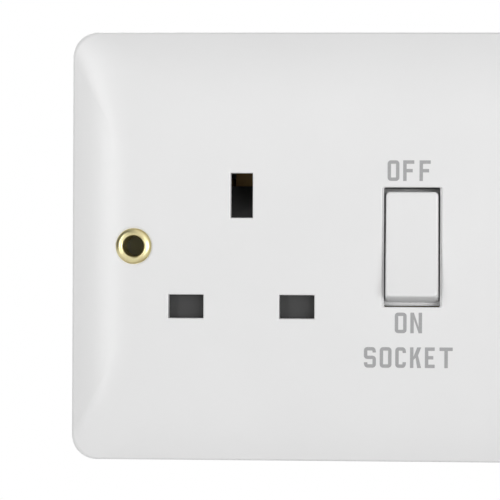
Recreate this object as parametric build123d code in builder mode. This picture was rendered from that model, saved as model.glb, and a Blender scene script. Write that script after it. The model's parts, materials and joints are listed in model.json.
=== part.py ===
from build123d import *
from dataclasses import dataclass
from math import asin, cos, pi, radians, sin, tan
import os

# Cooker control unit: a two-gang wall plate with a double-pole cooker switch and a switched
# three-pin socket outlet. A rear housing behind the plate carries the contacts and terminals.
# Millimetres. X runs to the right, Y into the wall and Z up. The origin is the middle of the wall
# plane, so the front faces -Y. Both switches are modelled in their off position.

# Front plate
PLATE_W = 146.0
PLATE_H = 86.0
PROJECTION = 9.5
CORNER_R = 5.0
ROLL_W = 15.0
ROLL_SLOPE = 27.0
FLAT_CORNER_R = 16.0
EDGE_R = 0.8
PLATE_WALL = 2.6
APERTURE_R = 0.3
MOUTH_R = 0.3
EDGE_STEPS = 3
ROLL_STEPS = 4

# Two fixing holes to a wall box, each lined with a rolled eyelet
FIXING_INSET = 12.7
FIXING_BORE_R = 2.1
EYELET_WALL = 0.5
EYELET_FLANGE = 1.0
EYELET_PROUD = 0.7
EYELET_LIP = 0.4
EYELET_FLARE = 0.6
EYELET_FLARE_T = 0.6
SPOTFACE_DEPTH = 0.55
SPOTFACE_GAP = 0.3
FIXING_BOSS_R = 4.75

# Pin pattern of the socket outlet
SOCKET_INSET = 21.7
PIN_PITCH = 22.2
EARTH_Z = 10.2
EARTH_SLOT_W = 4.4
EARTH_SLOT_H = 8.9
LINE_SLOT_W = 7.0
LINE_SLOT_H = 4.7
EARTH_PIN_H = 8.0

# Rockers
SOCKET_SWITCH_X = -4.6
SOCKET_ROCKER_W = 10.3
SOCKET_ROCKER_H = 20.8
SOCKET_DISH = 0.55
SOCKET_THROW = 6.0
COOKER_INSET = 26.3
COOKER_ROCKER_W = 24.0
COOKER_ROCKER_H = 34.0
COOKER_DISH = 0.9
COOKER_THROW = 5.0
POLE_PITCH = 15.0
PIVOT_DEPTH = 4.5
FACE_STAND = 6.3
SKIRT = 1.6
SIDE_DRAFT = 0.35
END_DRAFT = 0.9
ROCKER_CORNER_R = 0.8
ROCKER_EDGE_R = 0.45
ROCKER_WALL = 1.3
FACE_WALL = 1.9
WEB_T = 1.4
SIDE_GAP = 0.4
END_GAP = 0.6
REBATE_DEPTH = 0.5
THROAT_GAP = 0.1
BARREL_GAP = 0.15
LIP_SINK = 3.4
TRUNNION_R = 1.2
EAR_T = 1.8
EAR_H = 8.0
EAR_BACK = 2.4
EAR_END_GAP = 0.3
EAR_CLEAR = 0.9

# Sprung plungers in the rocker stems
STEM_W = 6.0
STEM_H = 5.6
STEM_REACH = 9.0
BORE_AHEAD = 2.0
PLUNGER_R = 1.5
PLUNGER_L = 7.5
PLUNGER_REACH = 12.5
SPRING_WIRE_R = 0.2
SPRING_TURNS = 5
SPRING_SIDES = 8

# See-saw contact bars, each on a knife-edge fulcrum
VALLEY = 14.0
NOSE_GAP = 0.15
BAR_T = 1.2
BAR_CENTRE = 1.3
BAR_HEEL_T = 0.9
BAR_HEEL_H = 4.0
BAR_END = 1.8
BAR_THROW = 9.0
SOCKET_BAR_W = 5.0
COOKER_BAR_W = 6.0
SOCKET_CONTACT_Z = 8.5
COOKER_CONTACT_Z = 11.0
KNIFE_R = 0.3
KNIFE_SLOPE = 25.0
NOTCH_SLOPE = 38.0
FULCRUM_H = 2.2
TIP_R = 1.5
TIP_H = 0.8
TIP_EDGE_R = 0.45
TIP_GAP = 0.12

# Contact strips and jaws
STRIP_T = 1.0
STRIP_W = 5.0
POLE_W = 7.0
POLE_TOP = 3.0
LINK_DROP = 2.2
LINK_GAP = 1.5
PINCH_GAP = 4.3
LEAF_T = 0.8
LEAF_SPREAD = 0.9
LEAF_FLARE = 0.6
PINCH_SHARE = 0.65
LINE_JAW_W = 5.5
EARTH_JAW_W = 7.0
TAIL_DROP = 3.5

# Shutter over the pin slots
SHUTTER_T = 2.2
SHUTTER_TRAVEL = 6.0
BLADE_LAP = 0.8
BLADE_H = 6.0
STEM_BLADE_W = 9.0
WEDGE_W = 7.0
WEDGE_DEPTH = 7.5
WEDGE_ROOT = 3.2
WINDOW_W = 3.2
WINDOW_LOW = 1.5
WINDOW_TOP = 4.2
PEG_H = 1.0
PEG_W = 2.4
SHUTTER_COIL_R = 0.85
SHUTTER_WIRE_R = 0.15
DECK_T = 2.0
RAIL_T = 1.5
RAIL_L = 11.0

# Terminals
TERMINAL_W = 11.0
TERMINAL_H = 10.4
TERMINAL_D = 10.8
TERMINAL_BORE_R = 3.2
TERMINAL_SCREW_R = 2.4
EARTH_TERMINAL_W = 8.0
EARTH_TERMINAL_D = 9.0
EARTH_BORE_R = 2.5
EARTH_SCREW_R = 1.9
EARTH_TERMINAL_X = 9.0
EARTH_TERMINAL_PITCH = 11.0
STRAP_T = 1.0
STRAP_W = 5.0
STRAP_GAP = 1.4
STRAP_RISE = 1.0
STRAP_EYE_R = 4.2
STRAP_BEND_R = 2.0
SCREW_SLOT_W = 0.8
SCREW_SLOT_D = 0.9

# Rear housing
HOUSING_MARGIN = 14.0
HOUSING_WALL = 2.0
HOUSING_CORNER_R = 3.0
HOUSING_EDGE_R = 0.8
FIXING_NOTCH_R = 7.0
PARTITION_T = 1.5
RIB_T = 2.0
BARRIER_Y = 2.0
LEDGE_W = 0.9
LEDGE_H = 5.0
LEDGE_L = 3.0
SCREW_R = 1.45
SCREW_HEAD_R = 2.8
SCREW_HEAD_H = 2.0
SCREW_L = 12.0
HEAD_SEAT_DEPTH = 8.0
BOSS_R = 4.0
POST_R = 2.5
POST_L = 4.9
CABLE_HOLE_R = 3.8
DRIVER_HOLE_R = 3.2

# Clearances
RUN_GAP = 0.05
SLIDE_GAP = 0.4
SEAT_GAP = 0.6
PASS_GAP = 0.3
LAP = 0.9

# Levels through the depth of the unit
FRONT_Y = -PROJECTION
INNER_Y = FRONT_Y + PLATE_WALL
PIVOT_Y = FRONT_Y + PIVOT_DEPTH
JOIN_Y = INNER_Y + POST_L
STRAP_BACK_Y = -EYELET_FLARE_T
FIXING_BOSS_Y = STRAP_BACK_Y - STRAP_T
SHUTTER_Y = INNER_Y + SLIDE_GAP
SHUTTER_BACK_Y = SHUTTER_Y + SHUTTER_T
DECK_Y = SHUTTER_BACK_Y + SLIDE_GAP
DECK_BACK_Y = DECK_Y + DECK_T
NOSE_Y = PIVOT_Y + PLUNGER_REACH - PLUNGER_R
VALLEY_Y = NOSE_Y + (PLUNGER_R + NOSE_GAP) / cos(radians(VALLEY))
BAR_PIVOT_Y = VALLEY_Y + BAR_CENTRE
STRIP_Y = BAR_PIVOT_Y + FULCRUM_H
STRIP_BACK_Y = STRIP_Y + STRIP_T
LINK_Y = STRIP_BACK_Y + LINK_DROP
REAR_IN_Y = STRIP_BACK_Y + TERMINAL_D
REAR_Y = REAR_IN_Y + HOUSING_WALL
TERMINAL_Y = STRIP_BACK_Y + TERMINAL_D / 2
HOUSING_FRONT_Y = INNER_Y + SEAT_GAP
HEAD_SEAT_Y = JOIN_Y + HEAD_SEAT_DEPTH

# Places across the face of the unit
FIXING_PITCH = PLATE_W - 2 * FIXING_INSET
SOCKET_X = SOCKET_INSET - FIXING_PITCH / 2
COOKER_SWITCH_X = FIXING_PITCH / 2 - COOKER_INSET
NEUTRAL_X = SOCKET_X - PIN_PITCH / 2
LIVE_X = SOCKET_X + PIN_PITCH / 2
LINE_Z = EARTH_Z - PIN_PITCH
LIVE_POLE_X = COOKER_SWITCH_X - POLE_PITCH / 2
NEUTRAL_POLE_X = COOKER_SWITCH_X + POLE_PITCH / 2
EYELET_R = FIXING_BORE_R + EYELET_WALL
FLANGE_R = EYELET_R + EYELET_FLANGE
BLADE_LEFT = NEUTRAL_X - LINE_SLOT_W / 2 - BLADE_LAP
BLADE_RIGHT = LIVE_X + LINE_SLOT_W / 2 + BLADE_LAP
JAW_ROOT = PINCH_GAP / 2 + LEAF_SPREAD + LEAF_T

# The housing reaches from the shutter's blade on the left to the screw bosses on the right
SCREW_RIGHT = NEUTRAL_POLE_X + TERMINAL_W / 2 + SEAT_GAP + BOSS_R
HOUSING_LEFT = BLADE_LEFT - SLIDE_GAP - HOUSING_WALL
HOUSING_RIGHT = SCREW_RIGHT + POST_R + PASS_GAP + HOUSING_WALL
HOUSING_X = (HOUSING_LEFT + HOUSING_RIGHT) / 2
HOUSING_W = HOUSING_RIGHT - HOUSING_LEFT
HOUSING_H = PLATE_H - 2 * HOUSING_MARGIN
INSIDE_H = HOUSING_H - 2 * HOUSING_WALL
SCREW_LEFT = HOUSING_LEFT + HOUSING_WALL + PASS_GAP + POST_R
SCREW_Z = INSIDE_H / 2 - POST_R - PASS_GAP
SCREW_PLACES = [(x, z) for x in (SCREW_LEFT, SCREW_RIGHT) for z in (-SCREW_Z, SCREW_Z)]
DECK_H = 2 * (SCREW_Z - BOSS_R - PASS_GAP)
TERMINAL_TOP = INSIDE_H / 2 - SEAT_GAP
TERMINAL_Z = TERMINAL_TOP - TERMINAL_H / 2
LINK_Z = LINK_GAP + STRIP_W / 2 + TERMINAL_H / 2 - TERMINAL_Z
TAIL_Z = INSIDE_H / 2 - TAIL_DROP
STRAP_Z = HOUSING_H / 2 + STRAP_RISE + EARTH_TERMINAL_W / 2
STRAP_LEFT = HOUSING_LEFT - STRAP_GAP
STRAP_RIGHT = HOUSING_RIGHT + STRAP_GAP


@dataclass
class Switch:
    """A rocker switch: where it stands, its rocker, its throw each way and its switched poles."""

    x: float
    width: float
    height: float
    dish: float
    throw: float
    poles: tuple
    bar_w: float
    contact_z: float

    @property
    def aperture_w(self):
        return self.width + 2 * (SIDE_DRAFT + SIDE_GAP)

    @property
    def throat_w(self):
        return self.width + 2 * (SIDE_DRAFT + THROAT_GAP)

    @property
    def aperture_h(self):
        return self.height + 2 * (END_DRAFT + END_GAP)


SOCKET_SWITCH = Switch(SOCKET_SWITCH_X, SOCKET_ROCKER_W, SOCKET_ROCKER_H, SOCKET_DISH, SOCKET_THROW,
                       (SOCKET_SWITCH_X,), SOCKET_BAR_W, SOCKET_CONTACT_Z)
COOKER_SWITCH = Switch(COOKER_SWITCH_X, COOKER_ROCKER_W, COOKER_ROCKER_H, COOKER_DISH, COOKER_THROW,
                       (LIVE_POLE_X, NEUTRAL_POLE_X), COOKER_BAR_W, COOKER_CONTACT_Z)
SWITCHES = (SOCKET_SWITCH, COOKER_SWITCH)
PARTITION_X = SOCKET_SWITCH_X - SOCKET_SWITCH.aperture_w / 2 - EAR_T - EAR_CLEAR - PARTITION_T / 2
DECK_RIGHT = PARTITION_X + PARTITION_T / 2

os.makedirs("parts", exist_ok=True)


def save(piece, name):
    """Label a finished piece and write it."""
    piece.part.label = name
    export_step(piece.part, f"parts/{name}.step")


def facing(y):
    """Sketch plane at depth y, seen from the front; extrusions go towards the front."""
    return Plane.XZ.offset(-y)


def rocking(x, y, turn):
    """Planes of a piece turned about an axis along X: its side (rearward, up) and its face."""
    c = cos(radians(turn))
    s = sin(radians(turn))
    side = Plane(origin=(x, y, 0), x_dir=(0, c, s), z_dir=(1, 0, 0))
    face = Plane(origin=(x, y, 0), x_dir=(1, 0, 0), z_dir=(0, -c, -s))
    return side, face


def panel(x0, z0, x1, z1, mode=Mode.ADD):
    """Rectangle between two corners in the sketch that is open."""
    with Locations(((x0 + x1) / 2, (z0 + z1) / 2)):
        Rectangle(abs(x1 - x0), abs(z1 - z0), mode=mode)


# Rolled front of the plate: a small edge round, then a long arc that runs out into the flat
EDGE_INSET = EDGE_R * (1 - sin(radians(ROLL_SLOPE)))
ROLL_R = (ROLL_W - EDGE_INSET) / sin(radians(ROLL_SLOPE))
ROLL_DROP = ROLL_R * (1 - cos(radians(ROLL_SLOPE)))
RIM_Y = FRONT_Y + ROLL_DROP + EDGE_R * cos(radians(ROLL_SLOPE))


def plate_outline(slope, wall=0.0):
    """Outline of the front where its surface leans by slope degrees, moved in by a wall."""
    a = radians(slope)
    if slope > ROLL_SLOPE:
        inset = EDGE_R * (1 - sin(a))
        y = RIM_Y - EDGE_R * cos(a)
    else:
        inset = ROLL_W - ROLL_R * sin(a)
        y = FRONT_Y + ROLL_R * (1 - cos(a))
    radius = CORNER_R - wall + (FLAT_CORNER_R - CORNER_R + wall) * inset / ROLL_W
    with BuildSketch(facing(y + wall)) as outline:
        RectangleRounded(PLATE_W - 2 * (inset + wall), PLATE_H - 2 * (inset + wall), radius)
    return outline.sketch


EDGE_SLOPES = [90 + (ROLL_SLOPE - 90) * step / EDGE_STEPS for step in range(EDGE_STEPS + 1)]
ROLL_SLOPES = [ROLL_SLOPE * (1 - step / ROLL_STEPS) for step in range(ROLL_STEPS + 1)]
HOLLOW_Y = FRONT_Y + ROLL_DROP + PLATE_WALL

with BuildPart() as front_plate:
    with BuildSketch(facing(0)):
        RectangleRounded(PLATE_W, PLATE_H, CORNER_R)
    extrude(amount=-RIM_Y)
    loft([plate_outline(slope) for slope in EDGE_SLOPES])
    loft([plate_outline(slope) for slope in ROLL_SLOPES])

    # Hollow back
    hollow = [plate_outline(slope, PLATE_WALL) for slope in ROLL_SLOPES]
    extrude(hollow[0], amount=HOLLOW_Y, mode=Mode.SUBTRACT)
    loft(hollow, mode=Mode.SUBTRACT)

    # Bosses behind the fixing holes and posts for the housing screws
    with BuildSketch(facing(FIXING_BOSS_Y)):
        with GridLocations(FIXING_PITCH, 0, 2, 1):
            Circle(FIXING_BOSS_R)
    extrude(amount=FIXING_BOSS_Y - INNER_Y + LAP)
    with BuildSketch(facing(JOIN_Y)):
        with Locations(*SCREW_PLACES):
            Circle(POST_R)
    extrude(amount=POST_L + LAP)

    # Bearing ears beside each rocker, open to the rear for its trunnions
    for switch in SWITCHES:
        for hand in (-1, 1):
            with BuildSketch(Plane.YZ.offset(switch.x + hand * switch.aperture_w / 2)):
                panel(INNER_Y - LAP, -EAR_H / 2, PIVOT_Y + EAR_BACK, EAR_H / 2)
                with Locations((PIVOT_Y, 0)):
                    Circle(TRUNNION_R + RUN_GAP, mode=Mode.SUBTRACT)
                panel(PIVOT_Y, -TRUNNION_R - RUN_GAP, PIVOT_Y + EAR_BACK, TRUNNION_R + RUN_GAP, Mode.SUBTRACT)
            extrude(amount=hand * EAR_T)

    # Pin slots and rocker apertures
    with BuildSketch(facing(INNER_Y)):
        with Locations((SOCKET_X, EARTH_Z)):
            Rectangle(EARTH_SLOT_W, EARTH_SLOT_H)
        with Locations((NEUTRAL_X, LINE_Z), (LIVE_X, LINE_Z)):
            Rectangle(LINE_SLOT_W, LINE_SLOT_H)
        for switch in SWITCHES:
            with Locations((switch.x, 0)):
                RectangleRounded(switch.throat_w, switch.aperture_h, APERTURE_R)
    extrude(amount=PLATE_WALL, mode=Mode.SUBTRACT)

    # Shallow rebate at the front of each aperture, which leaves a ledge along both sides of its rocker
    with BuildSketch(facing(FRONT_Y + REBATE_DEPTH)):
        for switch in SWITCHES:
            with Locations((switch.x, 0)):
                RectangleRounded(switch.aperture_w, switch.aperture_h, APERTURE_R)
    extrude(amount=REBATE_DEPTH, mode=Mode.SUBTRACT)
    flat = front_plate.faces().sort_by(Axis.Y)[0]
    fillet(flat.inner_wires().edges(), MOUTH_R)

    # Fixing holes with a seat for the eyelet's flange, and pilot holes in the posts
    with BuildSketch(facing(FIXING_BOSS_Y)):
        with GridLocations(FIXING_PITCH, 0, 2, 1):
            Circle(EYELET_R + RUN_GAP)
    extrude(amount=FIXING_BOSS_Y - FRONT_Y, mode=Mode.SUBTRACT)
    with BuildSketch(facing(FRONT_Y + SPOTFACE_DEPTH)):
        with GridLocations(FIXING_PITCH, 0, 2, 1):
            Circle(FLANGE_R + SPOTFACE_GAP)
    extrude(amount=SPOTFACE_DEPTH, mode=Mode.SUBTRACT)
    with BuildSketch(facing(JOIN_Y)):
        with Locations(*SCREW_PLACES):
            Circle(SCREW_R + RUN_GAP)
    extrude(amount=SCREW_L - HEAD_SEAT_DEPTH + PASS_GAP, mode=Mode.SUBTRACT)
save(front_plate, "front_plate")


def make_eyelet(x, name):
    """Brass eyelet: tube with a rolled front flange and a flared rear end."""
    seat_y = FRONT_Y + SPOTFACE_DEPTH
    crest = (x + FIXING_BORE_R + EYELET_LIP, seat_y - EYELET_PROUD)
    lip_end = (x + FIXING_BORE_R, crest[1] + EYELET_LIP)
    flange_end = (x + FLANGE_R, seat_y)
    flare_r = EYELET_R + EYELET_FLARE
    with BuildPart() as eyelet:
        with BuildSketch(Plane.XY):
            with BuildLine():
                Polyline(lip_end, (x + FIXING_BORE_R, 0), (x + flare_r, 0), (x + flare_r, STRAP_BACK_Y),
                         (x + EYELET_R, STRAP_BACK_Y), (x + EYELET_R, seat_y), flange_end)
                TangentArc(crest, flange_end, tangent=(1, 0))
                TangentArc(crest, lip_end, tangent=(-1, 0))
            make_face()
        revolve(axis=Axis((x, 0, 0), (0, 1, 0)))
    save(eyelet, name)


make_eyelet(-FIXING_PITCH / 2, "left_eyelet")
make_eyelet(FIXING_PITCH / 2, "right_eyelet")


def make_rocker(switch, name):
    """Hollow rocker with a dished face, trunnions and a bored stem for each pole."""
    side, face = rocking(switch.x, PIVOT_Y, -switch.throw)
    dish_r = ((switch.height / 2) ** 2 + switch.dish ** 2) / (2 * switch.dish)
    skirt_w = switch.width + 2 * SIDE_DRAFT
    skirt_h = switch.height + 2 * END_DRAFT
    ceiling = FACE_STAND - switch.dish - FACE_WALL
    stems = [(pole_x - switch.x, 0) for pole_x in switch.poles]
    barrel_r = switch.aperture_h / 2 - BARREL_GAP
    barrel_w = switch.aperture_w - 2 * BARREL_GAP
    lip = barrel_r * sin(asin((PIVOT_DEPTH - LIP_SINK) / barrel_r) - radians(switch.throw))
    with BuildPart() as rocker:
        with BuildSketch(face.offset(-SKIRT)):
            RectangleRounded(skirt_w, skirt_h, ROCKER_CORNER_R)
        with BuildSketch(face.offset(FACE_STAND)):
            RectangleRounded(switch.width, switch.height, ROCKER_CORNER_R)
        loft(ruled=True)
        with BuildSketch(side):
            with Locations((switch.dish - FACE_STAND - dish_r, 0)):
                Circle(dish_r)
        extrude(amount=switch.width, both=True, mode=Mode.SUBTRACT)
        dished = rocker.faces().filter_by(GeomType.CYLINDER).sort_by(SortBy.AREA)[-1]
        fillet(dished.edges(), ROCKER_EDGE_R)

        # Flange of a barrel about the pivot, which closes the aperture behind the plate at every angle
        with BuildSketch(side):
            Circle(barrel_r)
            panel(-barrel_r, -barrel_r, -lip, barrel_r, Mode.SUBTRACT)
            panel(SKIRT, -barrel_r, barrel_r, barrel_r, Mode.SUBTRACT)
        extrude(amount=barrel_w / 2, both=True)

        # Hollow back with a web that carries the trunnions
        with BuildSketch(face.offset(-SKIRT)):
            Rectangle(skirt_w - 2 * ROCKER_WALL, skirt_h - 2 * ROCKER_WALL)
        with BuildSketch(face.offset(ceiling)):
            Rectangle(switch.width - 2 * ROCKER_WALL, switch.height - 2 * ROCKER_WALL)
        loft(ruled=True, mode=Mode.SUBTRACT)
        with BuildSketch(face.offset(-SKIRT)):
            Rectangle(skirt_w - ROCKER_WALL, WEB_T)
        extrude(amount=SKIRT + ceiling + FACE_WALL / 2)
        trunnion_root = (switch.width - ROCKER_WALL) / 2
        trunnion_end = switch.aperture_w / 2 + EAR_T - EAR_END_GAP
        for hand in (-1, 1):
            with BuildSketch(side.offset(hand * trunnion_root)):
                Circle(TRUNNION_R)
            extrude(amount=hand * (trunnion_end - trunnion_root))

        # Stems, each bored from behind for its spring and plunger
        with BuildSketch(face.offset(-STEM_REACH)):
            with Locations(*stems):
                Rectangle(STEM_W, STEM_H)
        extrude(amount=STEM_REACH + ceiling + FACE_WALL / 2)
        with BuildSketch(face.offset(-STEM_REACH)):
            with Locations(*stems):
                Circle(PLUNGER_R + RUN_GAP)
        extrude(amount=STEM_REACH + BORE_AHEAD, mode=Mode.SUBTRACT)
    save(rocker, name)


def make_coil(base, length, coil_r, wire_r, name):
    """Compression spring that stands on a plane: a helix of straight chords in hexagonal wire."""
    count = SPRING_TURNS * SPRING_SIDES
    rise = (length - 2 * (wire_r + RUN_GAP)) / count
    corners = []
    for step in range(count + 1):
        turn = 2 * pi * step / SPRING_SIDES
        height = wire_r + RUN_GAP + rise * step
        corners.append(base.from_local_coords((coil_r * cos(turn), coil_r * sin(turn), height)))
    with BuildPart() as coil:
        with BuildLine():
            path = Polyline(*corners)
        with BuildSketch(Plane(origin=path @ 0, z_dir=path % 0)):
            RegularPolygon(wire_r, 6)
        sweep(transition=Transition.RIGHT)
    save(coil, name)


def make_plunger(switch, pole_x, name):
    """Round-nosed plunger in a rocker stem, with the spring behind it."""
    side = rocking(pole_x, PIVOT_Y, -switch.throw)[0]
    tail = PLUNGER_REACH - PLUNGER_L
    nose = PLUNGER_REACH - PLUNGER_R
    half_turn = PLUNGER_R * sin(pi / 4)
    with BuildPart() as plunger:
        with BuildSketch(side):
            with BuildLine():
                Polyline((PLUNGER_REACH, 0), (tail, 0), (tail, PLUNGER_R), (nose, PLUNGER_R))
                ThreePointArc((nose, PLUNGER_R), (nose + half_turn, half_turn), (PLUNGER_REACH, 0))
            make_face()
        revolve(axis=Axis(side.origin, side.x_dir))
    save(plunger, name)
    spring_base = Plane(origin=side.from_local_coords((-BORE_AHEAD, 0, 0)), x_dir=(1, 0, 0), z_dir=side.x_dir)
    coil_r = PLUNGER_R - SPRING_WIRE_R - RUN_GAP
    make_coil(spring_base, tail + BORE_AHEAD, coil_r, SPRING_WIRE_R, f"{name}_spring")


# Contact bar seen from the side about its fulcrum: rearward, then up
BAR_SLOPE = tan(radians(VALLEY))
BAR_REAR = BAR_T / cos(radians(VALLEY)) - BAR_CENTRE
NOTCH_APEX = -(KNIFE_R + RUN_GAP) / sin(radians(NOTCH_SLOPE))
NOTCH_HALF = (BAR_HEEL_T - NOTCH_APEX) * tan(radians(NOTCH_SLOPE))


def make_bar(switch, pole_x, name):
    """See-saw contact bar: a shallow V with a notched heel and a contact tip on its upper arm."""
    side = rocking(pole_x, BAR_PIVOT_Y, BAR_THROW)[0]
    reach = switch.contact_z + BAR_END
    with BuildPart() as bar:
        with BuildSketch(side):
            for up in (-1, 1):
                with BuildLine():
                    Polyline((-BAR_CENTRE, 0), (-BAR_CENTRE - reach * BAR_SLOPE, up * reach),
                             (BAR_REAR - reach * BAR_SLOPE, up * reach), (BAR_REAR, 0), close=True)
                make_face()
            panel(-BAR_CENTRE / 2, -BAR_HEEL_H / 2, BAR_HEEL_T, BAR_HEEL_H / 2)
            with BuildLine():
                Polyline((NOTCH_APEX, 0), (BAR_HEEL_T, NOTCH_HALF), (BAR_HEEL_T, -NOTCH_HALF), close=True)
            make_face(mode=Mode.SUBTRACT)
        extrude(amount=switch.bar_w / 2, both=True)
        lean = radians(VALLEY)
        seat = side.from_local_coords((BAR_REAR - switch.contact_z * BAR_SLOPE, switch.contact_z, 0))
        tip = Plane(origin=seat, x_dir=(1, 0, 0), z_dir=side.x_dir * cos(lean) + side.y_dir * sin(lean))
        with BuildSketch(tip.offset(-BAR_T / 2)):
            Circle(TIP_R)
        extrude(amount=BAR_T / 2 + TIP_H)
        fillet(bar.edges().filter_by(GeomType.CIRCLE).sort_by(Axis(tip.origin, tip.z_dir))[-1], TIP_EDGE_R)
    save(bar, name)


def closed_tip(switch):
    """Depth and height of a bar's tip when the switch is on."""
    lean = radians(VALLEY)
    rearward = BAR_REAR - switch.contact_z * BAR_SLOPE + TIP_H * cos(lean)
    up = switch.contact_z + TIP_H * sin(lean)
    turn = radians(-BAR_THROW)
    y = BAR_PIVOT_Y + rearward * cos(turn) - up * sin(turn)
    z = rearward * sin(turn) + up * cos(turn)
    return y, z


make_rocker(SOCKET_SWITCH, "socket_rocker")
make_plunger(SOCKET_SWITCH, SOCKET_SWITCH_X, "socket_plunger")
make_bar(SOCKET_SWITCH, SOCKET_SWITCH_X, "socket_contact_bar")
make_rocker(COOKER_SWITCH, "cooker_rocker")
make_plunger(COOKER_SWITCH, LIVE_POLE_X, "live_plunger")
make_plunger(COOKER_SWITCH, NEUTRAL_POLE_X, "neutral_plunger")
make_bar(COOKER_SWITCH, LIVE_POLE_X, "live_contact_bar")
make_bar(COOKER_SWITCH, NEUTRAL_POLE_X, "neutral_contact_bar")


def fulcrum_profile(x):
    """Knife edge that stands on a strip and carries a contact bar in its notch."""
    side = rocking(x, BAR_PIVOT_Y, 0)[0]
    a = radians(KNIFE_SLOPE)
    shoulder = (-KNIFE_R * sin(a), KNIFE_R * cos(a))
    foot = KNIFE_R * cos(a) + (FULCRUM_H + KNIFE_R * sin(a)) * tan(a)
    with BuildSketch(side) as profile:
        Circle(KNIFE_R)
        with BuildLine():
            Polyline(shoulder, (FULCRUM_H, foot), (FULCRUM_H, -foot), (shoulder[0], -shoulder[1]), close=True)
        make_face()
    return profile.sketch


def tip_profile(switch, x):
    """Outline and height of the fixed contact that a bar's tip meets."""
    y, z = closed_tip(switch)
    with BuildSketch(facing(STRIP_Y)) as profile:
        with Locations((x, z)):
            Circle(TIP_R)
    return profile.sketch, STRIP_Y - y - TIP_GAP


with BuildPart() as live_busbar:
    with BuildSketch(facing(STRIP_BACK_Y)):
        panel(LIVE_POLE_X - POLE_W / 2, -TERMINAL_TOP, LIVE_POLE_X + POLE_W / 2, POLE_TOP)
        panel(SOCKET_SWITCH_X - STRIP_W / 2, -STRIP_W / 2, LIVE_POLE_X, STRIP_W / 2)
    extrude(amount=STRIP_T)
    extrude(fulcrum_profile(SOCKET_SWITCH_X), amount=SOCKET_BAR_W / 2, both=True)
    extrude(fulcrum_profile(LIVE_POLE_X), amount=COOKER_BAR_W / 2, both=True)
save(live_busbar, "live_busbar")

with BuildPart() as neutral_busbar:
    with BuildSketch(facing(STRIP_BACK_Y)):
        panel(NEUTRAL_POLE_X - POLE_W / 2, -TERMINAL_TOP, NEUTRAL_POLE_X + POLE_W / 2, POLE_TOP)
    extrude(amount=STRIP_T)
    extrude(fulcrum_profile(NEUTRAL_POLE_X), amount=COOKER_BAR_W / 2, both=True)
save(neutral_busbar, "neutral_busbar")

# Link from the neutral pin contact to the neutral busbar, set back behind the live strips
LINK_ENDS = (NEUTRAL_X + POLE_W / 2, NEUTRAL_POLE_X - POLE_W / 2)
link_front = [(NEUTRAL_X - POLE_W / 2, STRIP_BACK_Y), (LINK_ENDS[0], STRIP_BACK_Y),
              (LINK_ENDS[0] + LINK_DROP, LINK_Y), (LINK_ENDS[1] - LINK_DROP, LINK_Y),
              (LINK_ENDS[1], STRIP_BACK_Y), (NEUTRAL_POLE_X + POLE_W / 2, STRIP_BACK_Y)]
with BuildPart() as neutral_link:
    with BuildSketch(Plane.XY.offset(LINK_Z - STRIP_W / 2)):
        with BuildLine():
            Polyline(*link_front, *[(x, y + STRIP_T) for x, y in reversed(link_front)], close=True)
        make_face()
    extrude(amount=STRIP_W)
save(neutral_link, "neutral_link")


def make_load_strip(x, name):
    """Strip from a fixed contact up to a load terminal."""
    tip, height = tip_profile(COOKER_SWITCH, x)
    with BuildPart() as strip:
        with BuildSketch(facing(STRIP_BACK_Y)):
            panel(x - POLE_W / 2, closed_tip(COOKER_SWITCH)[1] - STRIP_W / 2, x + POLE_W / 2, TERMINAL_TOP)
        extrude(amount=STRIP_T)
        extrude(tip, amount=height)
        fillet(strip.edges().filter_by(GeomType.CIRCLE).sort_by(Axis.Y)[0], TIP_EDGE_R)
    save(strip, name)


make_load_strip(LIVE_POLE_X, "live_load_strip")
make_load_strip(NEUTRAL_POLE_X, "neutral_load_strip")


def jaw_profile(plane, length):
    """Two sprung leaves of a pin contact on a plane whose first axis runs into the unit."""
    inner = PINCH_GAP / 2
    leaf = [(0, inner + LEAF_SPREAD), (-PINCH_SHARE * length, inner), (-length, inner + LEAF_FLARE)]
    with BuildSketch(plane) as profile:
        for hand in (-1, 1):
            near = [(d, hand * w) for d, w in leaf]
            far = [(d, hand * (w + LEAF_T)) for d, w in reversed(leaf)]
            with BuildLine():
                Polyline(*near, *far, close=True)
            make_face()
    return profile.sketch


LINE_JAW_L = STRIP_Y - DECK_BACK_Y - SEAT_GAP
EARTH_JAW_L = STRIP_Y - SHUTTER_Y - WEDGE_DEPTH - SEAT_GAP

with BuildPart() as live_pin_contact:
    fixed_tip, tip_height = tip_profile(SOCKET_SWITCH, SOCKET_SWITCH_X)
    tip_z = closed_tip(SOCKET_SWITCH)[1]
    with BuildSketch(facing(STRIP_BACK_Y)):
        panel(LIVE_X - STRIP_W / 2, LINE_Z - JAW_ROOT, LIVE_X + STRIP_W / 2, tip_z + STRIP_W / 2)
        panel(LIVE_X, tip_z - STRIP_W / 2, SOCKET_SWITCH_X + STRIP_W / 2, tip_z + STRIP_W / 2)
    extrude(amount=STRIP_T)
    extrude(fixed_tip, amount=tip_height)
    fillet(live_pin_contact.edges().filter_by(GeomType.CIRCLE).sort_by(Axis.Y)[0], TIP_EDGE_R)
    seat = Plane(origin=(LIVE_X, STRIP_Y, LINE_Z), x_dir=(0, 1, 0), z_dir=(1, 0, 0))
    jaw = jaw_profile(seat, LINE_JAW_L)
    extrude(jaw, amount=LINE_JAW_W / 2, both=True)
save(live_pin_contact, "live_pin_contact")

with BuildPart() as neutral_pin_contact:
    with BuildSketch(facing(STRIP_BACK_Y)):
        panel(NEUTRAL_X - POLE_W / 2, LINE_Z - JAW_ROOT, NEUTRAL_X + POLE_W / 2, LINE_Z + JAW_ROOT)
    extrude(amount=STRIP_T)
    seat = Plane(origin=(NEUTRAL_X, STRIP_Y, LINE_Z), x_dir=(0, 1, 0), z_dir=(1, 0, 0))
    jaw = jaw_profile(seat, LINE_JAW_L)
    extrude(jaw, amount=LINE_JAW_W / 2, both=True)
save(neutral_pin_contact, "neutral_pin_contact")

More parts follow.
